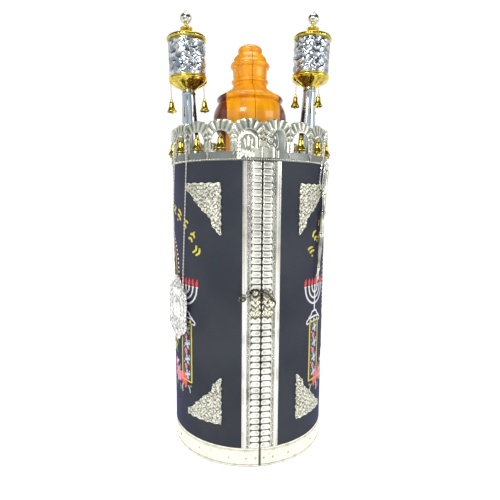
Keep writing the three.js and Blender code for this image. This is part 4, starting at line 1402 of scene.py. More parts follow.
@dataclass
class Dome(Assembly):
    """Half of the turned wooden dome, light in the middle and dark at the side."""

    stand: float = 531.3
    height: float = 207.7
    foot: float = 60.0
    seam: float = 0.4
    light_reach: float = 48.0
    gap: float = 0.3
    edge_angle: float = 50.0

    def profile(self) -> Array:
        """Give the turning as rows of radius and height, from the foot up."""

        def bead(neck: float, reach: float, low: float, high: float, steps: int) -> Points:
            """Swell out from a neck between two heights."""
            shares = np.linspace(0, 1, steps + 1)
            return [(neck + (reach - neck) * sin(pi * s) ** 0.8, low + (high - low) * s) for s in shares]

        shares = [
            (0, 0), (1, 0), (1.01, 0.02), (1, 0.043), (0.96, 0.057), (0.92, 0.078), (0.9, 0.103),
            (0.9, 0.177), (0.91, 0.196), (0.94, 0.217), *bead(0.983, 1.153, 0.23, 0.504, 22),
            *bead(0.965, 1.036, 0.509, 0.566, 10), (0.93, 0.574), (0.85, 0.59), (0.75, 0.61),
            (0.66, 0.63), (0.59, 0.648), (0.54, 0.66), (0.515, 0.668),
            *bead(0.517, 0.583, 0.673, 0.72, 8), (0.53, 0.734), (0.535, 0.765), (0.542, 0.793),
            *bead(0.55, 0.617, 0.802, 0.865, 10), (0.535, 0.881), (0.5, 0.901), (0.44, 0.922),
            (0.39, 0.936), (0.355, 0.944), (0.36, 0.95), (0.378, 0.957), (0.384, 0.966), (0.378, 0.977),
            (0.355, 0.988), (0.3, 1.0), (0, 1.0),
        ]
        return np.array([(r * self.foot, self.stand + z * self.height) for r, z in shares])

    def cut(self, low: float, high: float | None, label: str, finish: Finish, slot: str,
            node: str) -> Piece:
        """Make one wood of the dome.

        Args:
            low: Where it starts from the middle.
            high: Where it ends, if it isn't at the dome's side.
            label: The piece's name without the half's.
            finish: Its wood.
            slot: Its slot.
            node: The node that it stands for.

        Returns:
            The piece.
        """
        shape = Shape()
        shape.lathe(self.profile(), 120)
        piece = self.show(shape, label, [finish], slot, (node,), self.edge_angle)
        work = bmesh.new()
        work.from_mesh(piece.data)
        for place, way in ((low, 1), (high, -1)):
            if place is None:
                continue
            normal = Vector((-self.side.value * way, 0, 0))
            at = Vector((self.side.value * place * MM, 0, 0))
            every = list(work.verts) + list(work.edges) + list(work.faces)
            cut = bmesh.ops.bisect_plane(work, geom=every, dist=1e-6, plane_co=at, plane_no=normal,
                                         clear_outer=True)
            rim = [e for e in cut["geom_cut"] if isinstance(e, bmesh.types.BMEdge)]
            bmesh.ops.contextual_create(work, geom=rim)
        bmesh.ops.triangulate(work, faces=[f for f in work.faces if len(f.verts) > 4])
        bmesh.ops.recalc_face_normals(work, faces=work.faces)
        work.to_mesh(piece.data)
        work.free()
        piece.data.set_sharp_from_angle(angle=radians(self.edge_angle))
        return piece

    def build(self) -> list[Piece]:
        """Make both woods of this half."""
        light = self.cut(self.seam, self.light_reach, "dome_honey_wood", HONEY, "light_wood",
                         "dome_light_wood")
        dark = self.cut(self.light_reach + self.gap, None, "dome_cherry_wood", CHERRY, "dark_wood",
                        "dome_dark_wood")
        return [light, dark]


# Finials


@dataclass
class Finial(Assembly):
    """One of the two tower finials, with its stem, drum and hanging bells."""

    stem: float = 125.0
    lean: float = 1.7
    offset: float = 110.5
    stand: float = 531.3
    neck: float = 12.0
    taper: float = 0.045
    flange: float = 4.0
    rim: float = 35.4
    drum: float = 33.8
    cup_height: float = 23.0
    drum_height: float = 62.0
    cap_height: float = 27.0
    knob_radius: float = 10.5
    knob_height: float = 27.0
    gap: float = 0.3
    lobes: int = 12
    bell_angles: tuple[float, ...] = (-66.0, 52.0, 170.0)
    bell_reach: float = 34.5
    bell_eye: float = 15.8
    bell_drop: float = 34.0
    bell: Bell = field(default_factory=lambda: Bell(9.0, 18.0, 2.4, 0.6))

    def place(self) -> Array:
        """Give the frame of the finial, with its origin under the cup."""
        tilt = radians(self.lean) * self.side.value
        foot = self.neck + self.taper * self.stem + self.flange
        frame_at = np.eye(4)
        c, s = cos(tilt), sin(tilt)
        frame_at[:3, :3] = [[c, 0, s], [0, 1, 0], [-s, 0, c]]
        frame_at[:3, 3] = (self.side.value * (self.offset + self.stem * abs(s)), 0,
                           self.stand + foot * abs(s) + self.stem * c)
        return frame_at

    def build_stem(self) -> None:
        """Make the tapered tube on its flange."""
        foot = self.neck + self.taper * self.stem
        rows = [(0, -self.stem), (foot + self.flange, -self.stem), (foot + self.flange, -self.stem + 2.6),
                (foot + self.flange - 1, -self.stem + 4), (foot + 0.8, -self.stem + 5.2),
                (foot, -self.stem + 8)]
        rows += [(self.neck + self.taper * -z, z) for z in np.linspace(-self.stem + 12, -9, 10)]
        rows += [(self.neck + 1.1, -7.4), (self.neck + 1.7, -6), (self.neck + 1.1, -4.6), (self.neck, -3.2),
                 (self.neck, -self.gap), (0, -self.gap)]
        shape = Shape(place=self.place())
        shape.lathe(rows, 48)
        self.show(shape, "finial_tube", [STEM_METAL], "polished_metal", ("finial_stem",))

    def build_cup(self) -> None:
        """Make the lobed gilt cup."""
        rows = [(0, 0), (self.neck + 1.6, 0), (self.neck + 3, 0.8), (self.neck + 4.4, 2.6)]
        for share in np.linspace(0.12, 1, 12):
            swell = (self.rim - self.neck - 5.4) * sin(share * pi / 2) ** 1.15
            rows.append((self.neck + 4.4 + swell, 2.6 + 13.2 * share))
        rows += [(self.rim - 0.4, 16.6), (self.rim, 17.6), (self.rim, 19.4), (self.rim - 0.7, 20.2),
                 (self.rim, 21.0), (self.rim - 0.2, 22.2), (self.rim - 1.4, 23.0), (0, 23.0)]
        rows = np.array(rows)
        turn = round_steps(144)
        petal = np.abs(np.cos(turn * self.lobes / 2))
        weight = unit((rows[:, 1] - 1.5) / 4) * unit((17 - rows[:, 1]) / 3)
        sway = 1 + 0.075 * (petal[None] - 0.75) * weight[:, None]
        shape = Shape(place=self.place())
        # The grooves between the lobes carry patina and painted shade.
        shape.lathe(rows, 144, sway, (1 - petal)[None] * weight[:, None])
        self.show(shape, "finial_gilt_cup", [GILT], "gold_metal", ("finial_cup",), sharp=60)

    def build_drum(self) -> None:
        """Make the chased silver drum."""
        low = self.cup_height + self.gap
        heights = np.linspace(0, self.drum_height, 56)
        turn = round_steps(150)
        blobs = foliage(turn[None] * self.drum + 3, heights[:, None] * 1.0, 15.0, 0.4 + self.side.value)
        blobs = 0.5 * blobs + 0.5 * foliage(turn[None] * self.drum, heights[:, None], 8.0, 1.9)
        fade = unit(np.minimum(heights, self.drum_height - heights) / 4)[:, None]
        sway = (self.drum - 0.9 + 1.3 * blobs * fade) / self.drum
        rows = np.stack([np.full_like(heights, self.drum), heights + low], axis=-1)
        rows = np.vstack([[0, low], rows, [0, low + self.drum_height]])
        sway = np.vstack([np.ones((1, 150)), sway, np.ones((1, 150))])
        # The hollows between the blobs carry patina and painted shade.
        deep = np.vstack([np.zeros((1, 150)), (1 - blobs) * fade, np.zeros((1, 150))])
        shape = Shape(place=self.place())
        shape.lathe(rows, 150, sway, deep)
        self.show(shape, "finial_chased_drum", [DRUM_SILVER], "silver_sheet", ("finial_drum",), sharp=70)

    def build_cap(self) -> None:
        """Make the gilt cap with its scalloped rim."""
        low = self.cup_height + self.drum_height + 2 * self.gap
        rim, tall = self.rim, self.cap_height
        rows = [(0, 0), (rim, 0), (rim + 0.7, 1.2), (rim + 1, 3), (rim + 0.4, 5), (rim - 0.8, 6.4),
                (rim - 3, 7.2), (rim - 6, 8.2), (rim * 0.7, 10.4), (rim * 0.58, 12.4), (rim * 0.48, 14),
                (rim * 0.41, 15.8), (rim * 0.33, 17.6), (rim * 0.3, 19.4), (rim * 0.34, 20.6),
                (rim * 0.35, 21.8), (rim * 0.32, 23.2), (rim * 0.24, 24.6), (rim * 0.17, 26),
                (rim * 0.15, tall), (0, tall)]
        rows = np.array(rows, float) + [0, low]
        turn = round_steps(144)
        band = hump(rows[:, 1] - low - 3, 2.4)[:, None]
        scallop = np.abs(np.sin(turn * 18))[None]
        dome = (unit((rows[:, 1] - low - 7) / 3) * unit((low + 17 - rows[:, 1]) / 3))[:, None]
        sway = 1 - 0.014 * (1 - scallop) * band + 0.03 * (np.abs(np.cos(turn * 6))[None] - 0.7) * dome
        shape = Shape(place=self.place())
        # The dips of the scalloped band carry patina and painted shade.
        shape.lathe(rows, 144, sway, (1 - scallop) * band * 0.7)
        self.show(shape, "finial_gilt_cap", [GILT], "gold_metal", ("finial_cap",), sharp=60)

    def build_knob(self) -> None:
        """Make the bulb and spike on top."""
        low = self.cup_height + self.drum_height + self.cap_height + 3 * self.gap
        reach = self.knob_radius
        rise = np.linspace(-1.1, 1.1, 20)
        ball = [(reach * cos(a), 12.4 + reach * sin(a)) for a in rise]
        rows = [(0, 0), (4.4, 0), (4.9, 0.9), (4.3, 1.8), (3.9, 2.6), *ball, (2.8, 22.6), (2.1, 23.2),
                (2.3, 24.0), (2.9, 24.6), (2.3, 25.3), (1.4, 26.0), (1.0, 26.6), (0, self.knob_height)]
        rows = np.array(rows) + [0, low]
        turn = round_steps(64)
        weight = hump(rows[:, 1] - low - 12.4, 7)[:, None]
        sway = 1 + 0.05 * (np.abs(np.cos(turn * 4))[None] - 0.8) * weight
        shape = Shape(place=self.place())
        # The grooves of the bulb carry patina and painted shade.
        shape.lathe(rows, 64, sway, (1 - np.abs(np.cos(turn * 4)))[None] * weight)
        self.show(shape, "finial_bulb", [KNOB_SILVER], "silver_sheet", ("finial_knob",), sharp=60)

    def build_bells(self) -> None:
        """Hang the bells on fine chains from the cup's rim."""
        for number, angle in enumerate(self.bell_angles, 1):
            shape = Shape(place=self.place())
            start = around(self.bell_reach, angle, self.bell_eye)
            end = start - [0, 0, self.bell_drop]
            Chain(2.7, 0.32, 3.4, 1.9).lay(shape, np.linspace(start, end + [0, 0, 1.2], 12))
            hung = self.place() @ np.block([[np.eye(3), end[:, None]], [np.zeros((1, 3)), 1]])
            self.bell.hang(shape, hung)
            self.show(shape, f"finial_hung_bell_{number}", [GILT], "gold_metal", (f"finial_bell_{number}",))

    def build(self) -> None:
        """Make the whole finial."""
        self.build_stem()
        self.build_cup()
        self.build_drum()
        self.build_cap()
        self.build_knob()
        self.build_bells()


@dataclass
class StemRing:
    """The ring of a chain round a finial's stem, a little above the crown."""

    finial: Finial
    rise: float = 61.7
    wire: float = 1.3
    crest: float = 579.5
    out: float = 148.5
    hem: float = 526.8

    def centre(self) -> Array:
        """Give the ring's middle."""
        tilt = radians(self.finial.lean)
        foot = self.finial.neck + self.finial.taper * self.finial.stem + self.finial.flange
        x = self.finial.side.value * (self.finial.offset + self.rise * sin(tilt))
        return np.array([x, 0, self.finial.stand + foot * sin(tilt) + self.rise * cos(tilt)])

    def radius(self) -> float:
        """Give the ring's radius at the middle of its wire."""
        return self.finial.neck + self.finial.taper * (self.finial.stem - self.rise) + 1.2 + self.wire

    def edge(self, angle: float) -> Array:
        """Give the ring's point nearest to a place on the crown."""
        aim = around(CASE_RADIUS, angle, self.centre()[2]) - self.centre()
        return self.centre() + aim / np.linalg.norm(aim) * self.radius()

    def over_notch(self, angle: float) -> list[Array]:
        """Give a chain's way from the ring, over a notch and down the crown."""
        start, crest, out = self.edge(angle), self.crest, self.out
        half = start + (around(CASE_RADIUS, angle, crest) - start) * 0.6
        half[2] = crest + (start[2] - crest) * 0.18
        return [start, half, around(out - 8.5, angle, crest + 1), around(out + 1, angle, crest - 0.6),
                around(out + 1.6, angle, crest - 9), around(out, angle, self.hem)]

    def lay(self, shape: Shape) -> None:
        """Add the ring of links to a shape."""
        turn = np.linspace(0, 2 * pi, 40)
        loop = self.centre() + self.radius() * np.stack([np.cos(turn), np.sin(turn), 0 * turn], axis=-1)
        Chain().lay(shape, loop)


# Breastplate and pointer


@dataclass
class Breastplate(Assembly):
    """The chased shield that hangs on the left half."""

    angle_at: float = -67.5
    width: float = 84.0
    height: float = 119.0
    bottom: float = 205.0
    back: float = 149.0
    thickness: float = 1.8
    relief: float = 1.7
    outline: Pairs = (
        (0.05, 0.0), (0.2, 0.02), (0.34, 0.08), (0.55, 0.115), (0.74, 0.14), (0.92, 0.2), (0.97, 0.27),
        (0.93, 0.36), (0.9, 0.43), (0.95, 0.5), (1.0, 0.57), (0.99, 0.66), (0.94, 0.74), (0.82, 0.79),
        (0.7, 0.82), (0.54, 0.85), (0.42, 0.89), (0.3, 0.95), (0.16, 0.985), (0.05, 1.0),
    )
    tablet: tuple[float, float] = (14.0, 22.0)
    eye: tuple[float, float] = (27.0, 0.86)
    chain_angles: tuple[float, float] = (-72.0, -54.0)
    chain_top: tuple[float, float] = (148.4, 511.2)

    def lift(self, u: Array, v: Array, wide: Array) -> tuple[Array, Array]:
        """Give the chasing's height and its marks of patina and painted shade.

        Args:
            u: Distance from the middle line.
            v: Height above the plate's foot.
            wide: The plate's half width at each point.

        Returns:
            The height above the sheet, and the marks of patina and painted shade in the ground.
        """
        leaves = foliage(u, v, 9.0, 0.5)
        rim = hump(np.abs(u) - wide + 3.0, 1.6)
        middle = self.height / 2
        across, tall = self.tablet
        beside = np.abs(np.abs(u) - across * 0.57)
        off = np.maximum(beside - across * 0.38, 0)
        rise = v - middle + tall * 0.82
        round_top = np.hypot(np.maximum(rise - tall, 0), np.maximum(beside - 1, 0))
        tablet = (off < 1.2) & (rise > 0) & (rise < tall + 7) & (round_top < 6.6)
        column = (np.abs(np.abs(u) - 26) < 3) & (np.abs(v - middle + 3) < 21)
        above = v - middle - 30
        crown = (np.abs(above) < 7) & (np.abs(u) < 16) & (above < 3 + 4 * np.abs(np.cos(u * 0.2)))
        flat = tablet | column | crown
        twist = 0.3 * np.sin(v * 1.4 + u * 0.9)
        height = np.where(flat, 1.25 + np.where(column, twist, 0), 0.9 * leaves)
        height = np.maximum(height, rim * 1.3)
        return height * self.relief * 0.8, np.where(flat, 0.0, unit(1 - leaves * 1.4)) * (1 - rim)

    def build(self) -> None:
        """Make the plate and its eyes."""
        shares = np.array(self.outline)
        rise = np.linspace(0, 1, 96)
        wide = np.interp(rise, shares[:, 1], shares[:, 0]) * self.width / 2
        across = np.linspace(-1, 1, 72)
        u = wide[:, None] * across[None]
        v = np.broadcast_to(rise[:, None] * self.height, u.shape)
        height, deep = self.lift(u, v, np.broadcast_to(wide[:, None], u.shape))
        edge = unit((1 - np.abs(across))[None] * wide[:, None] / 1.5)
        face = self.thickness * 0.7 + height * edge
        shape = Shape(place=stand_at(self.back, self.angle_at, self.bottom))
        shape.slab(np.stack([u, v, face], axis=-1), np.stack([u, v, np.zeros_like(u)], axis=-1), deep)
        turn = round_steps(14)
        for way in (-1, 1):
            at, up = self.eye[0] * way, self.eye[1] * self.height - 1.6
            loop = np.stack([at + 2.2 * np.cos(turn), up + 2.2 * np.sin(turn), 0.9 + 0 * turn], axis=-1)
            shape.tube(loop, 0.6, 6, closed=True)
        for spot in np.linspace(-0.8, 0.8, 5):
            shape.ball((spot * self.width / 2 * 0.8, 16 + 10 * abs(spot), self.thickness + 0.6),
                       (3.0, 3.0, 1.9), 12, 8)
        self.show(shape, "chased_shield", [PLATE_SILVER], "silver_sheet", ("breastplate",), sharp=75)

    def build_chain(self, ring: StemRing) -> None:
        """Make the chain from the finial's stem to the plate's two eyes."""
        shape = Shape()
        ring.lay(shape)
        for way, angle in zip((-1, 1), self.chain_angles):
            place = stand_at(self.back, self.angle_at, self.bottom)
            eye = (place @ [way * self.eye[0], self.height * self.eye[1], 0.9, 1])[:3]
            top = around(self.chain_top[0], angle, self.chain_top[1])
            route = smooth_route([*ring.over_notch(angle), top, top + (eye - top) * 0.5, eye], 10)
            Chain().lay(shape, route)
        self.show(shape, "shield_chain", [CHAIN_SILVER], "silver_sheet", ("breastplate_chain",))


@dataclass
class Pointer(Assembly):
    """The reading pointer that hangs on the right half."""

    top_angle: float = 54.0
    tip_angle: float = 44.0
    top: float = 521.0
    tip: float = 307.0
    out: float = 151.4
    grip: float = 5.6
    hand: float = 30.0
    loop_shift: float = 7.0
    loop_drop: float = 44.0
    chain_out: float = 148.9
    bosses: tuple[float, ...] = (0.42, 0.6, 0.74)

    def place(self) -> tuple[Array, float]:
        """Give the frame of the pointer, at its tip, and its length."""
        low = around(self.out, self.tip_angle, self.tip)
        high = around(self.out + 1, self.top_angle, self.top)
        length = float(np.linalg.norm(high - low))
        axis = (high - low) / length
        out = around(1.0, (self.tip_angle + self.top_angle) / 2, 0.0)
        side = np.cross(out, axis)
        side /= np.linalg.norm(side)
        frame_at = np.eye(4)
        frame_at[:3] = np.stack([side, np.cross(axis, side), axis, low], axis=-1)
        return frame_at, length

    def build(self) -> None:
        """Make the turned shaft and the small hand."""
        place, length = self.place()
        grip, hand = self.grip, self.hand
        rows = [(0, hand - 4), (grip * 0.42, hand - 4), (grip * 0.52, hand), (grip * 0.72, hand + 2.5),
                (grip * 0.5, hand + 5)]
        for share in self.bosses:
            at = length * share
            ring = ((0.72, -12), (0.76, -4), (0.86, -2.2), (0.98, 0), (0.86, 2.2), (0.76, 4))
            rows += [(grip * wide, at + off) for wide, off in ring]
        rows += [(grip * 0.78, length - 40), (grip * 0.86, length - 26), (grip * 1.0, length - 16),
                 (grip * 0.86, length - 12), (grip * 0.5, length - 10), (grip * 0.66, length - 8),
                 (grip * 0.92, length - 4.5), (grip * 0.8, length - 1.2), (grip * 0.4, length + 0.6),
                 (0, length + 1)]
        line = np.array(rows)
        heights = np.unique(np.concatenate([np.linspace(line[1, 1], line[-2, 1], 90), line[1:-1, 1]]))
        radii = np.interp(heights, line[1:-1, 1], line[1:-1, 0])
        full = np.vstack([[0, line[0, 1]], np.stack([radii, heights], axis=-1), [0, length + 1]])
        turn = round_steps(32)
        ridged = np.cos(turn[None] * 8 + full[:, 1:] * 0.12) * unit((full[:, 1:] - hand - 6) / 6)
        shape = Shape(place=place)
        # The grooves of the ridged shaft carry patina and painted shade.
        shape.lathe(full, 32, 1 + 0.05 * ridged, unit(-ridged))
        palm = smooth_route([(0, 0, hand - 2), (0.2, 0, hand - 8), (0.1, 0.3, hand - 14),
                             (-0.4, 0.6, hand - 18)], 5)
        width = np.interp(np.arange(len(palm)), [0, 4, 10, len(palm) - 1], [2.2, 3.0, 3.4, 2.2])
        shape.tube(palm, width, 12, flat=0.66, up=(0, 1, 0))
        finger = smooth_route([(1.5, 0, hand - 13), (1.7, 0, hand - 20), (1.5, -0.2, 8), (1.2, 0, 1.2)], 5)
        shape.tube(finger, np.interp(np.arange(len(finger)), [0, 6, len(finger) - 1], [1.25, 1.05, 0.6]), 8)
        for u, down in ((-0.3, 16.5), (-1.6, 16.0), (-2.7, 15.0)):
            curl = [(u, -0.6, hand - 11), (u, -2.1, hand - down), (u, -1.2, hand - down - 2.4),
                    (u, 0.6, hand - down - 1)]
            shape.tube(smooth_route(curl, 4), 0.8, 7)
        thumb = smooth_route([(2.6, 0.4, hand - 7), (3.0, -1.4, hand - 12), (1.2, -2.2, hand - 16)], 5)
        shape.tube(thumb, 0.8, 7)
        self.show(shape, "reading_pointer", [POINTER_SILVER], "silver_sheet", ("pointer",))

    def build_chain(self, ring: StemRing) -> None:
        """Make the chain from the finial's stem to the pointer's head."""
        shape = Shape()
        ring.lay(shape)
        loop = self.top_angle - self.loop_shift
        drops = [(1, 1, 0.18), (0, 0, 0.5), (0, 0, 0.86), (1, 1, 1), (2, 2, 0.86), (4, 2.2, 0.27),
                 (4.4, self.loop_shift - 2, -0.09), (3.4, self.loop_shift + 0.2, -0.03)]
        route = ring.over_notch(self.top_angle)[:-1]
        for far, more, share in drops:
            route.append(around(self.chain_out + far, loop + more, self.top - self.loop_drop * share))
        Chain(2.8, 0.4, 3.8, 2.2).lay(shape, smooth_route(route, 10))
        self.show(shape, "pointer_links", [CHAIN_SILVER], "silver_sheet", ("pointer_chain",))


# Latch and hinges


@dataclass
class Latch(Assembly):
    """The plates, pins and hook that hold the halves together."""

    inner: float = 146.8
    outer: float = 148.2
    width: float = 19.0
    height: float = 52.0
    top: float = 313.0
    pivot: tuple[float, float] = (-11.4, 307.0)
    catch: tuple[float, float] = (16.4, 288.5)
    bar: float = 3.2
    thickness: float = 2.5
    thumb_reach: float = 21.5
    thumb_drop: float = 10.0
    hook_line: float = -150.25
    pin_end: float = 151.9
    stud_radius: float = 3.4

    def facing(self, x: float, y: float, z: float) -> Array:
        """Give a frame whose Z axis points to the front."""
        return np.array([[1, 0, 0, x], [0, 0, -1, y], [0, 1, 0, z], [0, 0, 0, 1.0]])

    def plate(self) -> None:
        """Make one plate with its curls and its pin or stud."""
        shares = [
            (0.02, 0.0), (0.3, 0.02), (0.62, 0.08), (0.92, 0.16), (1.0, 0.23), (0.86, 0.33), (0.6, 0.42),
            (0.84, 0.54), (1.0, 0.65), (1.0, 0.8), (0.94, 0.9), (0.7, 0.96), (0.4, 1.0),
        ]
        line = np.array(shares)
        across, rise = grid((-1, 1, 18), (0, 1, 40))
        wide = np.interp(rise, line[:, 1], line[:, 0]) * self.width / 2
        middle = self.width / 2 + 0.8
        u = middle + across * wide
        z = self.top - self.height + rise * self.height
        leaf = foliage(across * wide, z, 9.0, 1.0)
        edge = unit((1 - np.abs(across)) * 4)
        angle = self.angle(np.degrees(np.arcsin(u / self.outer)))
        shape = Shape()
        # The ground between the leaves is marked fully dark, patina and painted shade.
        shape.slab(around(self.outer - 1.0 + 1.2 * leaf * edge, angle, z), around(self.inner, angle, z),
                   unit((0.8 - leaf * edge) * 2.2))
        for sign, centre, size in ((1, 0.2, 4.6), (-1, 0.2, 4.6), (1, 0.56, 3.4), (-1, 0.56, 3.4)):
            turn = np.linspace(0, 3.6 * pi, 30)
            radius = size * (1 - turn / turn[-1] * 0.8)
            u_curl = middle + sign * (self.width * 0.24 + radius * np.cos(turn) * 0.9)
            z_curl = self.top - self.height * (1 - centre) + radius * np.sin(turn)
            spot = self.angle(np.degrees(np.arcsin(u_curl / self.outer)))
            shape.tube(around(self.outer - 0.6, spot, z_curl), np.linspace(1.1, 0.8, 30), 7)
        pin, stud = (self.pivot, 2.0, 4.4), (self.catch, self.stud_radius, 4.5)
        (x, z), radius, head = pin if self.side is Side.LEFT else stud
        out = sqrt(self.inner ** 2 - x ** 2)
        shape.place = self.facing(x, -out, z)
        top = self.pin_end - out
        shape.lathe([(0, 0), (radius, 0), (radius, top), (head * 0.9, top), (head, top + 0.5),
                     (head * 0.92, top + 1.2), (head * 0.5, top + 1.9), (0, top + 2.2)], 24)
        self.show(shape, "latch_scroll_plate", [LATCH_METAL], "silver_sheet", ("latch_plate",), sharp=60)

    def hook(self) -> None:
        """Make the swinging hook with its thumb loop."""
        x, z = self.pivot
        reach_x, reach_z = self.catch[0] - x, self.catch[1] - z
        clear = self.stud_radius + 0.4 + self.bar / 2
        middle = self.hook_line
        line = [(x, z), (x + reach_x * 0.4, z + self.bar / 2), (x + reach_x * 0.84, z + reach_z * 0.24),
                (self.catch[0] + clear * 0.95, self.catch[1] + clear * 0.45),
                (self.catch[0] + clear * 0.75, self.catch[1] - clear * 0.95)]
        route = smooth_route([(u, middle, v) for u, v in line], 10)
        shape = Shape()
        size = self.bar / 2 * (1.15 + 0.15 * np.sin(np.linspace(0, 3 * pi, len(route))))
        shape.tube(route, size, 12, flat=self.thickness / self.bar / 1.32, up=(0, 1, 0))
        shape.ball(route[-1], (2.1, 1.25, 2.1), 14, 8)
        bends = ((0, 0), (0.37, 0.26), (0.74, 0.8))
        thumb = [(x - s * self.thumb_reach, middle, z - d * self.thumb_drop) for s, d in bends]
        shape.tube(smooth_route(thumb, 8), 1.6, 10, flat=0.75, up=(0, 1, 0))
        turn = round_steps(28)
        loop = np.stack([x - self.thumb_reach + 5.6 * np.cos(turn), middle + 0 * turn,
                         z - self.thumb_drop + 3.3 * np.sin(turn)], axis=-1)
        shape.tube(loop, 1.5, 10, closed=True, flat=0.8, up=(0, 1, 0))
        shape.place = self.facing(x, middle, z)
        shape.lathe([(2.45, -1.2), (4.8, -1.2), (5.2, -0.6), (5.2, 0.6), (4.8, 1.2), (2.45, 1.2),
                     (2.45, -1.2)], 24)
        piece = shape.build("latch_swing_hook", [HOOK_METAL])
        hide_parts("latch_hook")
        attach(piece, "latch_hook")
        LOG.info("%s: %d faces on latch_hook", piece.name, len(piece.data.polygons))

    def build(self) -> None:
        """Make this half's plate, and the hook with the left one."""
        self.plate()
        if self.side is Side.LEFT:
            self.hook()


@dataclass
class Hinges(Assembly):
    """The two butt hinges, which keep the frame's solids and get screws."""

    heights: tuple[float, float] = (120.0, 400.0)
    face: float = 146.7

    def build(self) -> None:
        """Dress the leaves and add their screws."""
        shape = Shape()
        for number, middle in enumerate(self.heights, 1):
            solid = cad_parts[f"{self.side.label}_hinge_leaf_{number}"]
            solid.data.materials.clear()
            solid.data.materials.append(HINGE_METAL.material())
            for rise in (-18.0, 0.0, 18.0):
                spot = 180 - arc_degrees(15.5 if rise else 18.5, self.face)
                shape.place = stand_at(self.face - 0.2, self.angle(spot), middle + rise)
                shape.lathe([(0, -0.3), (2.6, -0.3), (2.5, 0.35), (1.6, 0.8), (0.5, 0.9), (0.45, 0.55),
                             (0, 0.5)], 18)
        self.show(shape, "hinge_screws", [HINGE_METAL], "polished_metal")


# Embroidery


@dataclass
class Needle:
    """Thread work on one shape, placed in millimetres from a middle line."""

    shape: Shape
    centre: float
    base: float = VELVET_FACE

    def turned(self, off: Real) -> Real:
        """Give the degrees from the seam at a distance from the middle line."""
        return self.centre + arc_degrees(off, self.base)

    def line(self, floss: Floss, points: Points, width: Real, height: float = 0.7,
             steps: int = 6) -> None:
        """Stitch a rounded line.

        Args:
            floss: Its thread.
            points: Distances from the middle line, and heights.
            width: The line's width.
            height: How far it stands up.
            steps: Points in each stretch.
        """
        route = smooth_route(points, steps)
        route[:, 0] = self.turned(route[:, 0])
        self.shape.mark = floss.value
        self.shape.stitch(route, width, height)

    def dab(self, floss: Floss, u: float, z: float, size: tuple[float, float], twist: float = 0.0,
            height: float = 0.8) -> None:
        """Stitch a rounded spot.

        Args:
            floss: Its thread.
            u: Its distance from the middle line.
            z: Its height on the case.
            size: Its half width and half height.
            twist: Its turn, in degrees.
            height: How far it stands up.
        """
        self.shape.mark = floss.value
        self.shape.place = stand_at(self.base, self.turned(u), z, twist)
        self.shape.ball((0, 0, 0), (*size, height), 12, 6)
        self.shape.place = np.eye(4)

    def flower(self, floss: Floss, heart: Floss, u: float, z: float, size: float, petals: int = 5) -> None:
        """Stitch a flower of plain petals.

        Args:
            floss: The petals' thread.
            heart: The middle's thread.
            u: Its distance from the middle line.
            z: Its height on the case.
            size: Its radius.
            petals: Number of petals.
        """
        for k in range(petals):
            way = 2 * pi * k / petals + 0.3
            across, up = size * 0.55 * cos(way), size * 0.55 * sin(way)
            self.dab(floss, u + across, z + up, (size * 0.34, size * 0.46), degrees(way) - 90)
        self.dab(heart, u, z, (size * 0.26, size * 0.26), height=1.1)


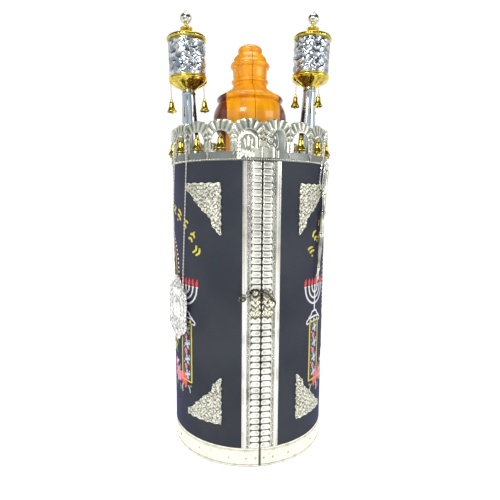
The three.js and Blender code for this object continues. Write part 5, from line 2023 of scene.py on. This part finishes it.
@dataclass
class Embroidery(Assembly):
    """The picture worked in thread on one half's velvet."""

    centre: float = 97.0
    menorah_off: float = 39.0
    arc_half: float = 52.5
    arc_base: float = 348.0
    arc_rise: float = 100.0
    mark_pitch: float = 27.0
    pillar_half: float = 15.0
    pillar_low: float = 133.0
    pillar_high: float = 242.0

    def at(self, off: float) -> float:
        """Give the angle at so many degrees from the picture's middle."""
        return self.angle(self.centre) + off

    def inscription(self) -> Piece:
        """Stitch the arc of gold marks, plain strokes that spell nothing."""
        marks = [
            [[(-5, 3), (0, 6), (5, 5)], [(-4, -3), (0, -1), (4, -4)], [(-1, -7), (2, -7)]],
            [[(-5, 5), (-2, 0), (-4, -6)], [(1, 6), (4, 1), (2, -5)]],
            [[(-5, 6), (0, 5), (5, 2)], [(-5, 0), (0, -1), (5, -4)], [(-4, -6), (-2, -7)]],
            [[(-4, -6), (0, -3), (5, -5)], [(-4, 1), (0, 4), (5, 2)], [(-1, 7), (1, 7)]],
            [[(-5, -4), (0, 0), (5, 5)], [(-4, 4), (-2, 6)], [(3, -6), (5, -4)]],
        ]
        bearing = np.linspace(radians(13), radians(167), 200)
        wide = radians(self.arc_half) * VELVET_FACE
        arc = np.stack([-wide * np.cos(bearing), self.arc_base + self.arc_rise * np.sin(bearing)], axis=-1)
        spots = even_points(arc, self.mark_pitch)
        shift = 2 if self.side is Side.RIGHT else 0
        shape = Shape()
        for k, ((u, z), way) in enumerate(zip(spots, np.gradient(spots, axis=0))):
            needle = Needle(shape, self.at(arc_degrees(u, VELVET_FACE)))
            tilt = float(np.clip(atan2(way[1], way[0]), -1.0, 1.0)) * 0.7
            scale = 1.3 + 0.18 * sin(k * 2.3)
            c, s = scale * cos(tilt), scale * sin(tilt)
            for stroke in marks[(k * 3 + shift) % len(marks)]:
                count = 6 * (len(stroke) - 1)
                width = np.interp(np.arange(count + 1), [0, 3, count], [3.0, 4.8, 3.2])
                needle.line(GOLD, [(x * c - y * s, z + x * s + y * c) for x, y in stroke], width, 1.0)
        return self.show(shape, "stitched_marks", THREADS, "velvet")

    def menorah(self, needle: Needle, foot: float = 260.0, top: float = 307.0) -> None:
        """Stitch a seven-branched lamp with its flames."""
        for reach in (10.0, 20.0, 30.0):
            turn = np.linspace(pi, 2 * pi, 9)
            arm = [(reach * cos(t), top + (reach + 2) * sin(t)) for t in turn]
            needle.line(WHITE, arm, 3.4, 0.8, 3)
        needle.line(WHITE, [(0, top), (0, 283), (0, foot)], 3.6, 0.9)
        for k in range(7):
            u = (k - 3) * 10.0
            needle.dab(WHITE, u, top + 0.5, (3.2, 1.5))
            needle.dab(RED, u, top + 7, (2.9, 5.6), 8 * (1 if k % 2 else -1), 1.0)
            needle.dab(RED, u + 0.8, top + 11.5, (1.4, 3.6), -6)
        needle.line(WHITE, [(-8, foot), (0, 261.5), (8, foot)], 3.2)
        needle.line(WHITE, [(-19, 249), (0, 250.5), (19, 249)], 3.4)
        for way in (-1, 1):
            needle.line(WHITE, [(way * 8, foot), (way * 11, 255), (way * 17, 251), (way * 19, 247)], 3.0)
            needle.line(WHITE, [(way * 19, 248), (way * 24, 245), (way * 23, 240), (way * 18, 241)], 2.8)
            needle.dab(WHITE, way * 12, 244.0, (2.4, 2.8))
        needle.dab(WHITE, 0, 244.5, (2.6, 3.0))

    def pillar(self, needle: Needle) -> None:
        """Stitch a framed pillar of flowers."""
        half, low, high = self.pillar_half, self.pillar_low, self.pillar_high
        needle.shape.mark = DARK.value
        u, z = grid((-half, half, 12), (low, high, 20))
        angle = needle.turned(u)
        needle.shape.slab(around(VELVET_FACE + 0.3, angle, z), around(VELVET_FACE - 0.3, angle, z))
        corners = [(-half, low), (half, low), (half, high), (-half, high), (-half, low)]
        for ends in zip(corners, corners[1:]):
            needle.line(GOLD, ends, 3.0, 1.0, 16)
        for u in (4 - half, half - 4):
            needle.line(BROWN, [(u, low + 4), (u, high - 4)], 1.0, 0.5, 10)
        for k, z in enumerate(np.linspace(low + 12, high - 12, 7)):
            way = (-1) ** k
            if k % 2:
                needle.dab(PINK, 2.2 * way, z, (5.0, 6.4), 12)
                needle.dab(RED, 2.2 * way, z - 1.0, (2.2, 3.0), 12, 1.2)
            else:
                needle.flower(BLUE, WHITE, 2.2 * way, z, 9.6, 4)
            needle.dab(GREEN, -8.0 * way, z + 6, (1.5, 3.4), 35 * way)
            needle.dab(WHITE, 8.4 * way, z + 7, (1.5, 1.5))

    def posy(self, needle: Needle, way: int) -> None:
        """Stitch the flowers at a pillar's foot."""
        needle.flower(RED, RED, way * 11.0, 134, 14.0, 6)
        needle.dab(RED, way * 4.0, 122, (3.4, 6.0), way * 30)
        needle.flower(PINK, RED, way * 36.0, 134, 16.0, 6)
        needle.flower(PINK, WHITE, way * 46.0, 154, 9.0)
        needle.dab(WHITE, way * 38.0, 158, (3.0, 3.0))
        for u, z, twist in ((-10, 124, 60), (18, 116, 20), (26, 112, -20), (46, 114, -50), (26, 150, 10)):
            needle.dab(GREEN, way * u, z, (2.2, 6.4), way * twist)
        for stalk in ([(14, 124), (17, 114), (16, 106)], [(-4, 124), (-9, 118), (-10, 112)]):
            needle.line(WHITE, [(way * u, z) for u, z in stalk], 1.6)

    def tablets(self, needle: Needle, way: int, inner: float = 3.0, outer: float = 41.0) -> None:
        """Stitch one of the two rounded tablets, with short rows inside."""
        head = [(way * (22 - 19 * cos(t)), 326 + 19 * sin(t)) for t in np.linspace(0, pi, 7)]
        outside = [(way * outer, 290), (way * outer, 256), (way * inner, 256)]
        needle.line(GOLD, [(way * inner, 256), (way * inner, 326)], 3.2, 0.9, 12)
        needle.line(GOLD, head, 3.2, 0.9, 4)
        for ends in zip([head[-1], *outside], outside):
            needle.line(GOLD, ends, 3.2, 0.9, 12)
        for row in range(5):
            z, far = 268 + row * 13.5, way * (34 - 6 * (row % 2))
            needle.line(BROWN, [(way * 10, z), (way * 20, z + 1.2), (far, z)], 2.4, 0.6)

    def crest(self, needle: Needle) -> None:
        """Stitch the rounded arch over the tablets, with its pearls and small crown."""
        outline = [(-58, 256), (-62, 322), (-55, 358), (-34, 386), (0, 398), (34, 386), (55, 358),
                   (62, 322), (58, 256)]
        needle.line(BROWN, outline, 3.0, 0.7, 10)
        needle.line(GOLD, [(x * 0.95, z - 3) for x, z in outline], 1.6, 0.6, 10)
        for u, z in even_points(smooth_route([(x * 1.13, z + 7) for x, z in outline], 12), 8.0):
            needle.dab(WHITE, u, z, (2.2, 2.2))
        for u in (-20, -10, 0, 10, 20):
            rise = 383 - abs(u) * 0.35
            needle.line(GOLD, [(u * 0.7, 364), (u, rise - 5), (u * 1.05, rise)], 2.8)
            needle.dab(WHITE, u * 1.05, rise + 2, (1.9, 1.9))
        needle.line(GOLD, [(-16, 361), (0, 364), (16, 361)], 4.6, 1.0)

    def garland(self, needle: Needle) -> None:
        """Stitch the flowers and leaves under the tablets."""
        for way in (-1, 1):
            for u, z, size in ((49, 222, 9.0), (54, 202, 8.0), (46, 184, 8.0)):
                needle.flower(GOLD, BROWN, way * u, z, size)
                needle.dab(GREEN, way * (u + 8), z - 7, (2.0, 6.0), way * 30)
                needle.dab(GREEN, way * (u - 7), z - 9, (1.8, 5.0), way * -40)
            branch = [(34, 244), (50, 228), (52, 200), (44, 172)]
            needle.line(GREEN, [(way * u, z) for u, z in branch], 2.2, 0.6, 10)
        needle.line(GREEN, [(-34, 170), (-20, 204), (0, 216), (20, 204), (34, 170)], 2.2, 0.7, 10)
        needle.line(GREEN, [(0, 250), (2, 232), (0, 216)], 2.2, 0.7, 8)
        for u, z, floss, size in (
            (0, 236, GOLD, 10.0), (-24, 214, PINK, 9.0), (24, 214, PINK, 9.0), (-34, 178, GOLD, 8.0),
            (34, 178, GOLD, 8.0), (0, 196, RED, 10.0), (-13, 168, BLUE, 7.0), (13, 168, BLUE, 7.0),
        ):
            needle.flower(floss, BROWN if floss is GOLD else GOLD, u, z, size)
        for k in range(12):
            u, z = (k - 5.5) * 6.6, 190 + 26 * sin(k * 1.9)
            needle.dab(GREEN, u, z, (1.8, 5.0), 50 * sin(k * 2.7))

    def build(self) -> list[Piece]:
        """Make the half's embroidered pieces."""
        pieces = [self.inscription()]
        lamps, pillars, middle = Shape(), Shape(), Needle(Shape(), self.at(0.0))
        for way in (-1, 1):
            centre = self.at(way * self.menorah_off)
            self.menorah(Needle(lamps, centre))
            self.pillar(Needle(pillars, centre))
            self.posy(Needle(pillars, centre), -way)
            self.tablets(middle, way)
        self.crest(middle)
        self.garland(middle)
        for shape, label in ((lamps, "lamps"), (pillars, "pillars"), (middle.shape, "garland")):
            pieces.append(self.show(shape, f"stitched_{label}", THREADS, "velvet"))
        return pieces


# Studio


@dataclass
class Studio:
    """The floor, the lights, the surroundings and the camera."""

    seam_turn: float = 8.4
    distance: float = 0.7963
    height: float = 0.45385
    pitch: float = 6.75
    roll: float = 0.386
    focal: float = 405.95
    frame_width: float = 500.0
    centre_x: float = 248.8
    floor_size: float = 30.0
    wall_edge: tuple[float, float] = (0.43, 0.52)
    band_depth: float = 0.5
    lights: tuple[tuple[str, Triple, float, float], ...] = (
        ("key", (-1.0, -1.7, 1.7), 0.7, 24.0),
        ("fill", (1.6, -1.2, 1.0), 0.9, 9.0),
        ("top", (0.0, 0.1, 2.4), 1.2, 12.0),
        ("back", (0.3, 2.2, 1.4), 1.4, 12.0),
    )

    def floor(self) -> None:
        """Lay the floor."""
        shape = Shape()
        half = self.floor_size / 2 / MM
        x, y = grid((-half, half, 5), (-half, half, 5))
        shape.slab(np.stack([x, y, 0 * x - 0.2], axis=-1), np.stack([x, y, 0 * x - 20], axis=-1))
        shape.build("studio_floor", [FLOOR])

    def lamps(self) -> None:
        """Hang the soft lights."""
        for name, spot, size, power in self.lights:
            data = bpy.data.lights.new(name, "AREA")
            data.size = size
            data.energy = power
            lamp = bpy.data.objects.new(name, data)
            bpy.context.scene.collection.objects.link(lamp)
            lamp.location = spot
            aim = Vector((0, 0, 0.42)) - lamp.location
            lamp.rotation_euler = aim.to_track_quat("-Z", "Y").to_euler()

    def surroundings(self) -> None:
        """Surround the case with pale walls, darker overhead and beside the camera."""
        world = bpy.data.worlds.new("studio")
        bpy.context.scene.world = world
        graph = Graph(world, "Background")
        way = graph.node("ShaderNodeTexCoord", output="Generated")
        x, y, z = (graph.node("ShaderNodeSeparateXYZ", None, {0: way}, name) for name in "XYZ")
        walls = 1.02 - z.over(*self.wall_edge) * 0.9 + z.over(0.85, 1.0) * 0.5
        beside = x.absolute()
        bands = (beside.over(0.2, 0.36) - beside.over(0.62, 0.84)) * (0 - y).over(0.1, 0.5)
        graph.surface({"Color": walls * (1 - bands * self.band_depth)})

    def camera(self) -> None:
        """Stand the camera where the photograph was taken."""
        turn, tip = radians(self.seam_turn), radians(self.pitch)
        data = bpy.data.cameras.new("camera")
        data.sensor_width = 36.0
        data.lens = self.focal / self.frame_width * data.sensor_width
        data.shift_x = (self.frame_width / 2 - self.centre_x) / self.frame_width
        camera = bpy.data.objects.new("camera", data)
        bpy.context.scene.collection.objects.link(camera)
        camera.location = (-self.distance * sin(turn), -self.distance * cos(turn), self.height)
        look = Vector((sin(turn) * cos(tip), cos(turn) * cos(tip), -sin(tip)))
        aimed = look.to_track_quat("-Z", "Y").to_matrix()
        camera.rotation_euler = (aimed @ Matrix.Rotation(radians(self.roll), 3, "Z")).to_euler()
        bpy.context.scene.camera = camera
        bpy.context.scene.view_settings.view_transform = "Standard"

    def build(self) -> None:
        """Set up the studio."""
        self.floor()
        self.lamps()
        self.surroundings()
        self.camera()


def build_half(side: Side) -> None:
    """Build one half of the case with what rides on it.

    Args:
        side: The half.
    """
    CaseWood(side).dress()
    embroidery = Embroidery(side) if side is Side.LEFT else Embroidery(side, centre=91.5, menorah_off=45.0)
    VelvetCover(side).build(embroidery.build())
    edging = Edging(side)
    edging.front()
    edging.back()
    BaseBand(side).build()
    for upper in (True, False):
        for at_back in (False, True):
            Filigree(side, upper, at_back).build()
    Crown(side).build()
    Dome(side).build()
    Latch(side).build()
    Hinges(side).build()


def main() -> None:
    """Build the studio and the case."""
    logging.basicConfig(level=logging.INFO, format="%(message)s")
    Studio().build()
    for side in Side:
        build_half(side)
    left = Finial(Side.LEFT)
    right = Finial(Side.RIGHT, stem=140.0, lean=2.2, bell_angles=(-62.0, 14.0, 150.0))
    left.build()
    right.build()
    shield = Breastplate(Side.LEFT)
    shield.build()
    shield.build_chain(StemRing(left))
    pointer = Pointer(Side.RIGHT)
    pointer.build()
    pointer.build_chain(StemRing(right))


if __name__ == "__main__":
    main()
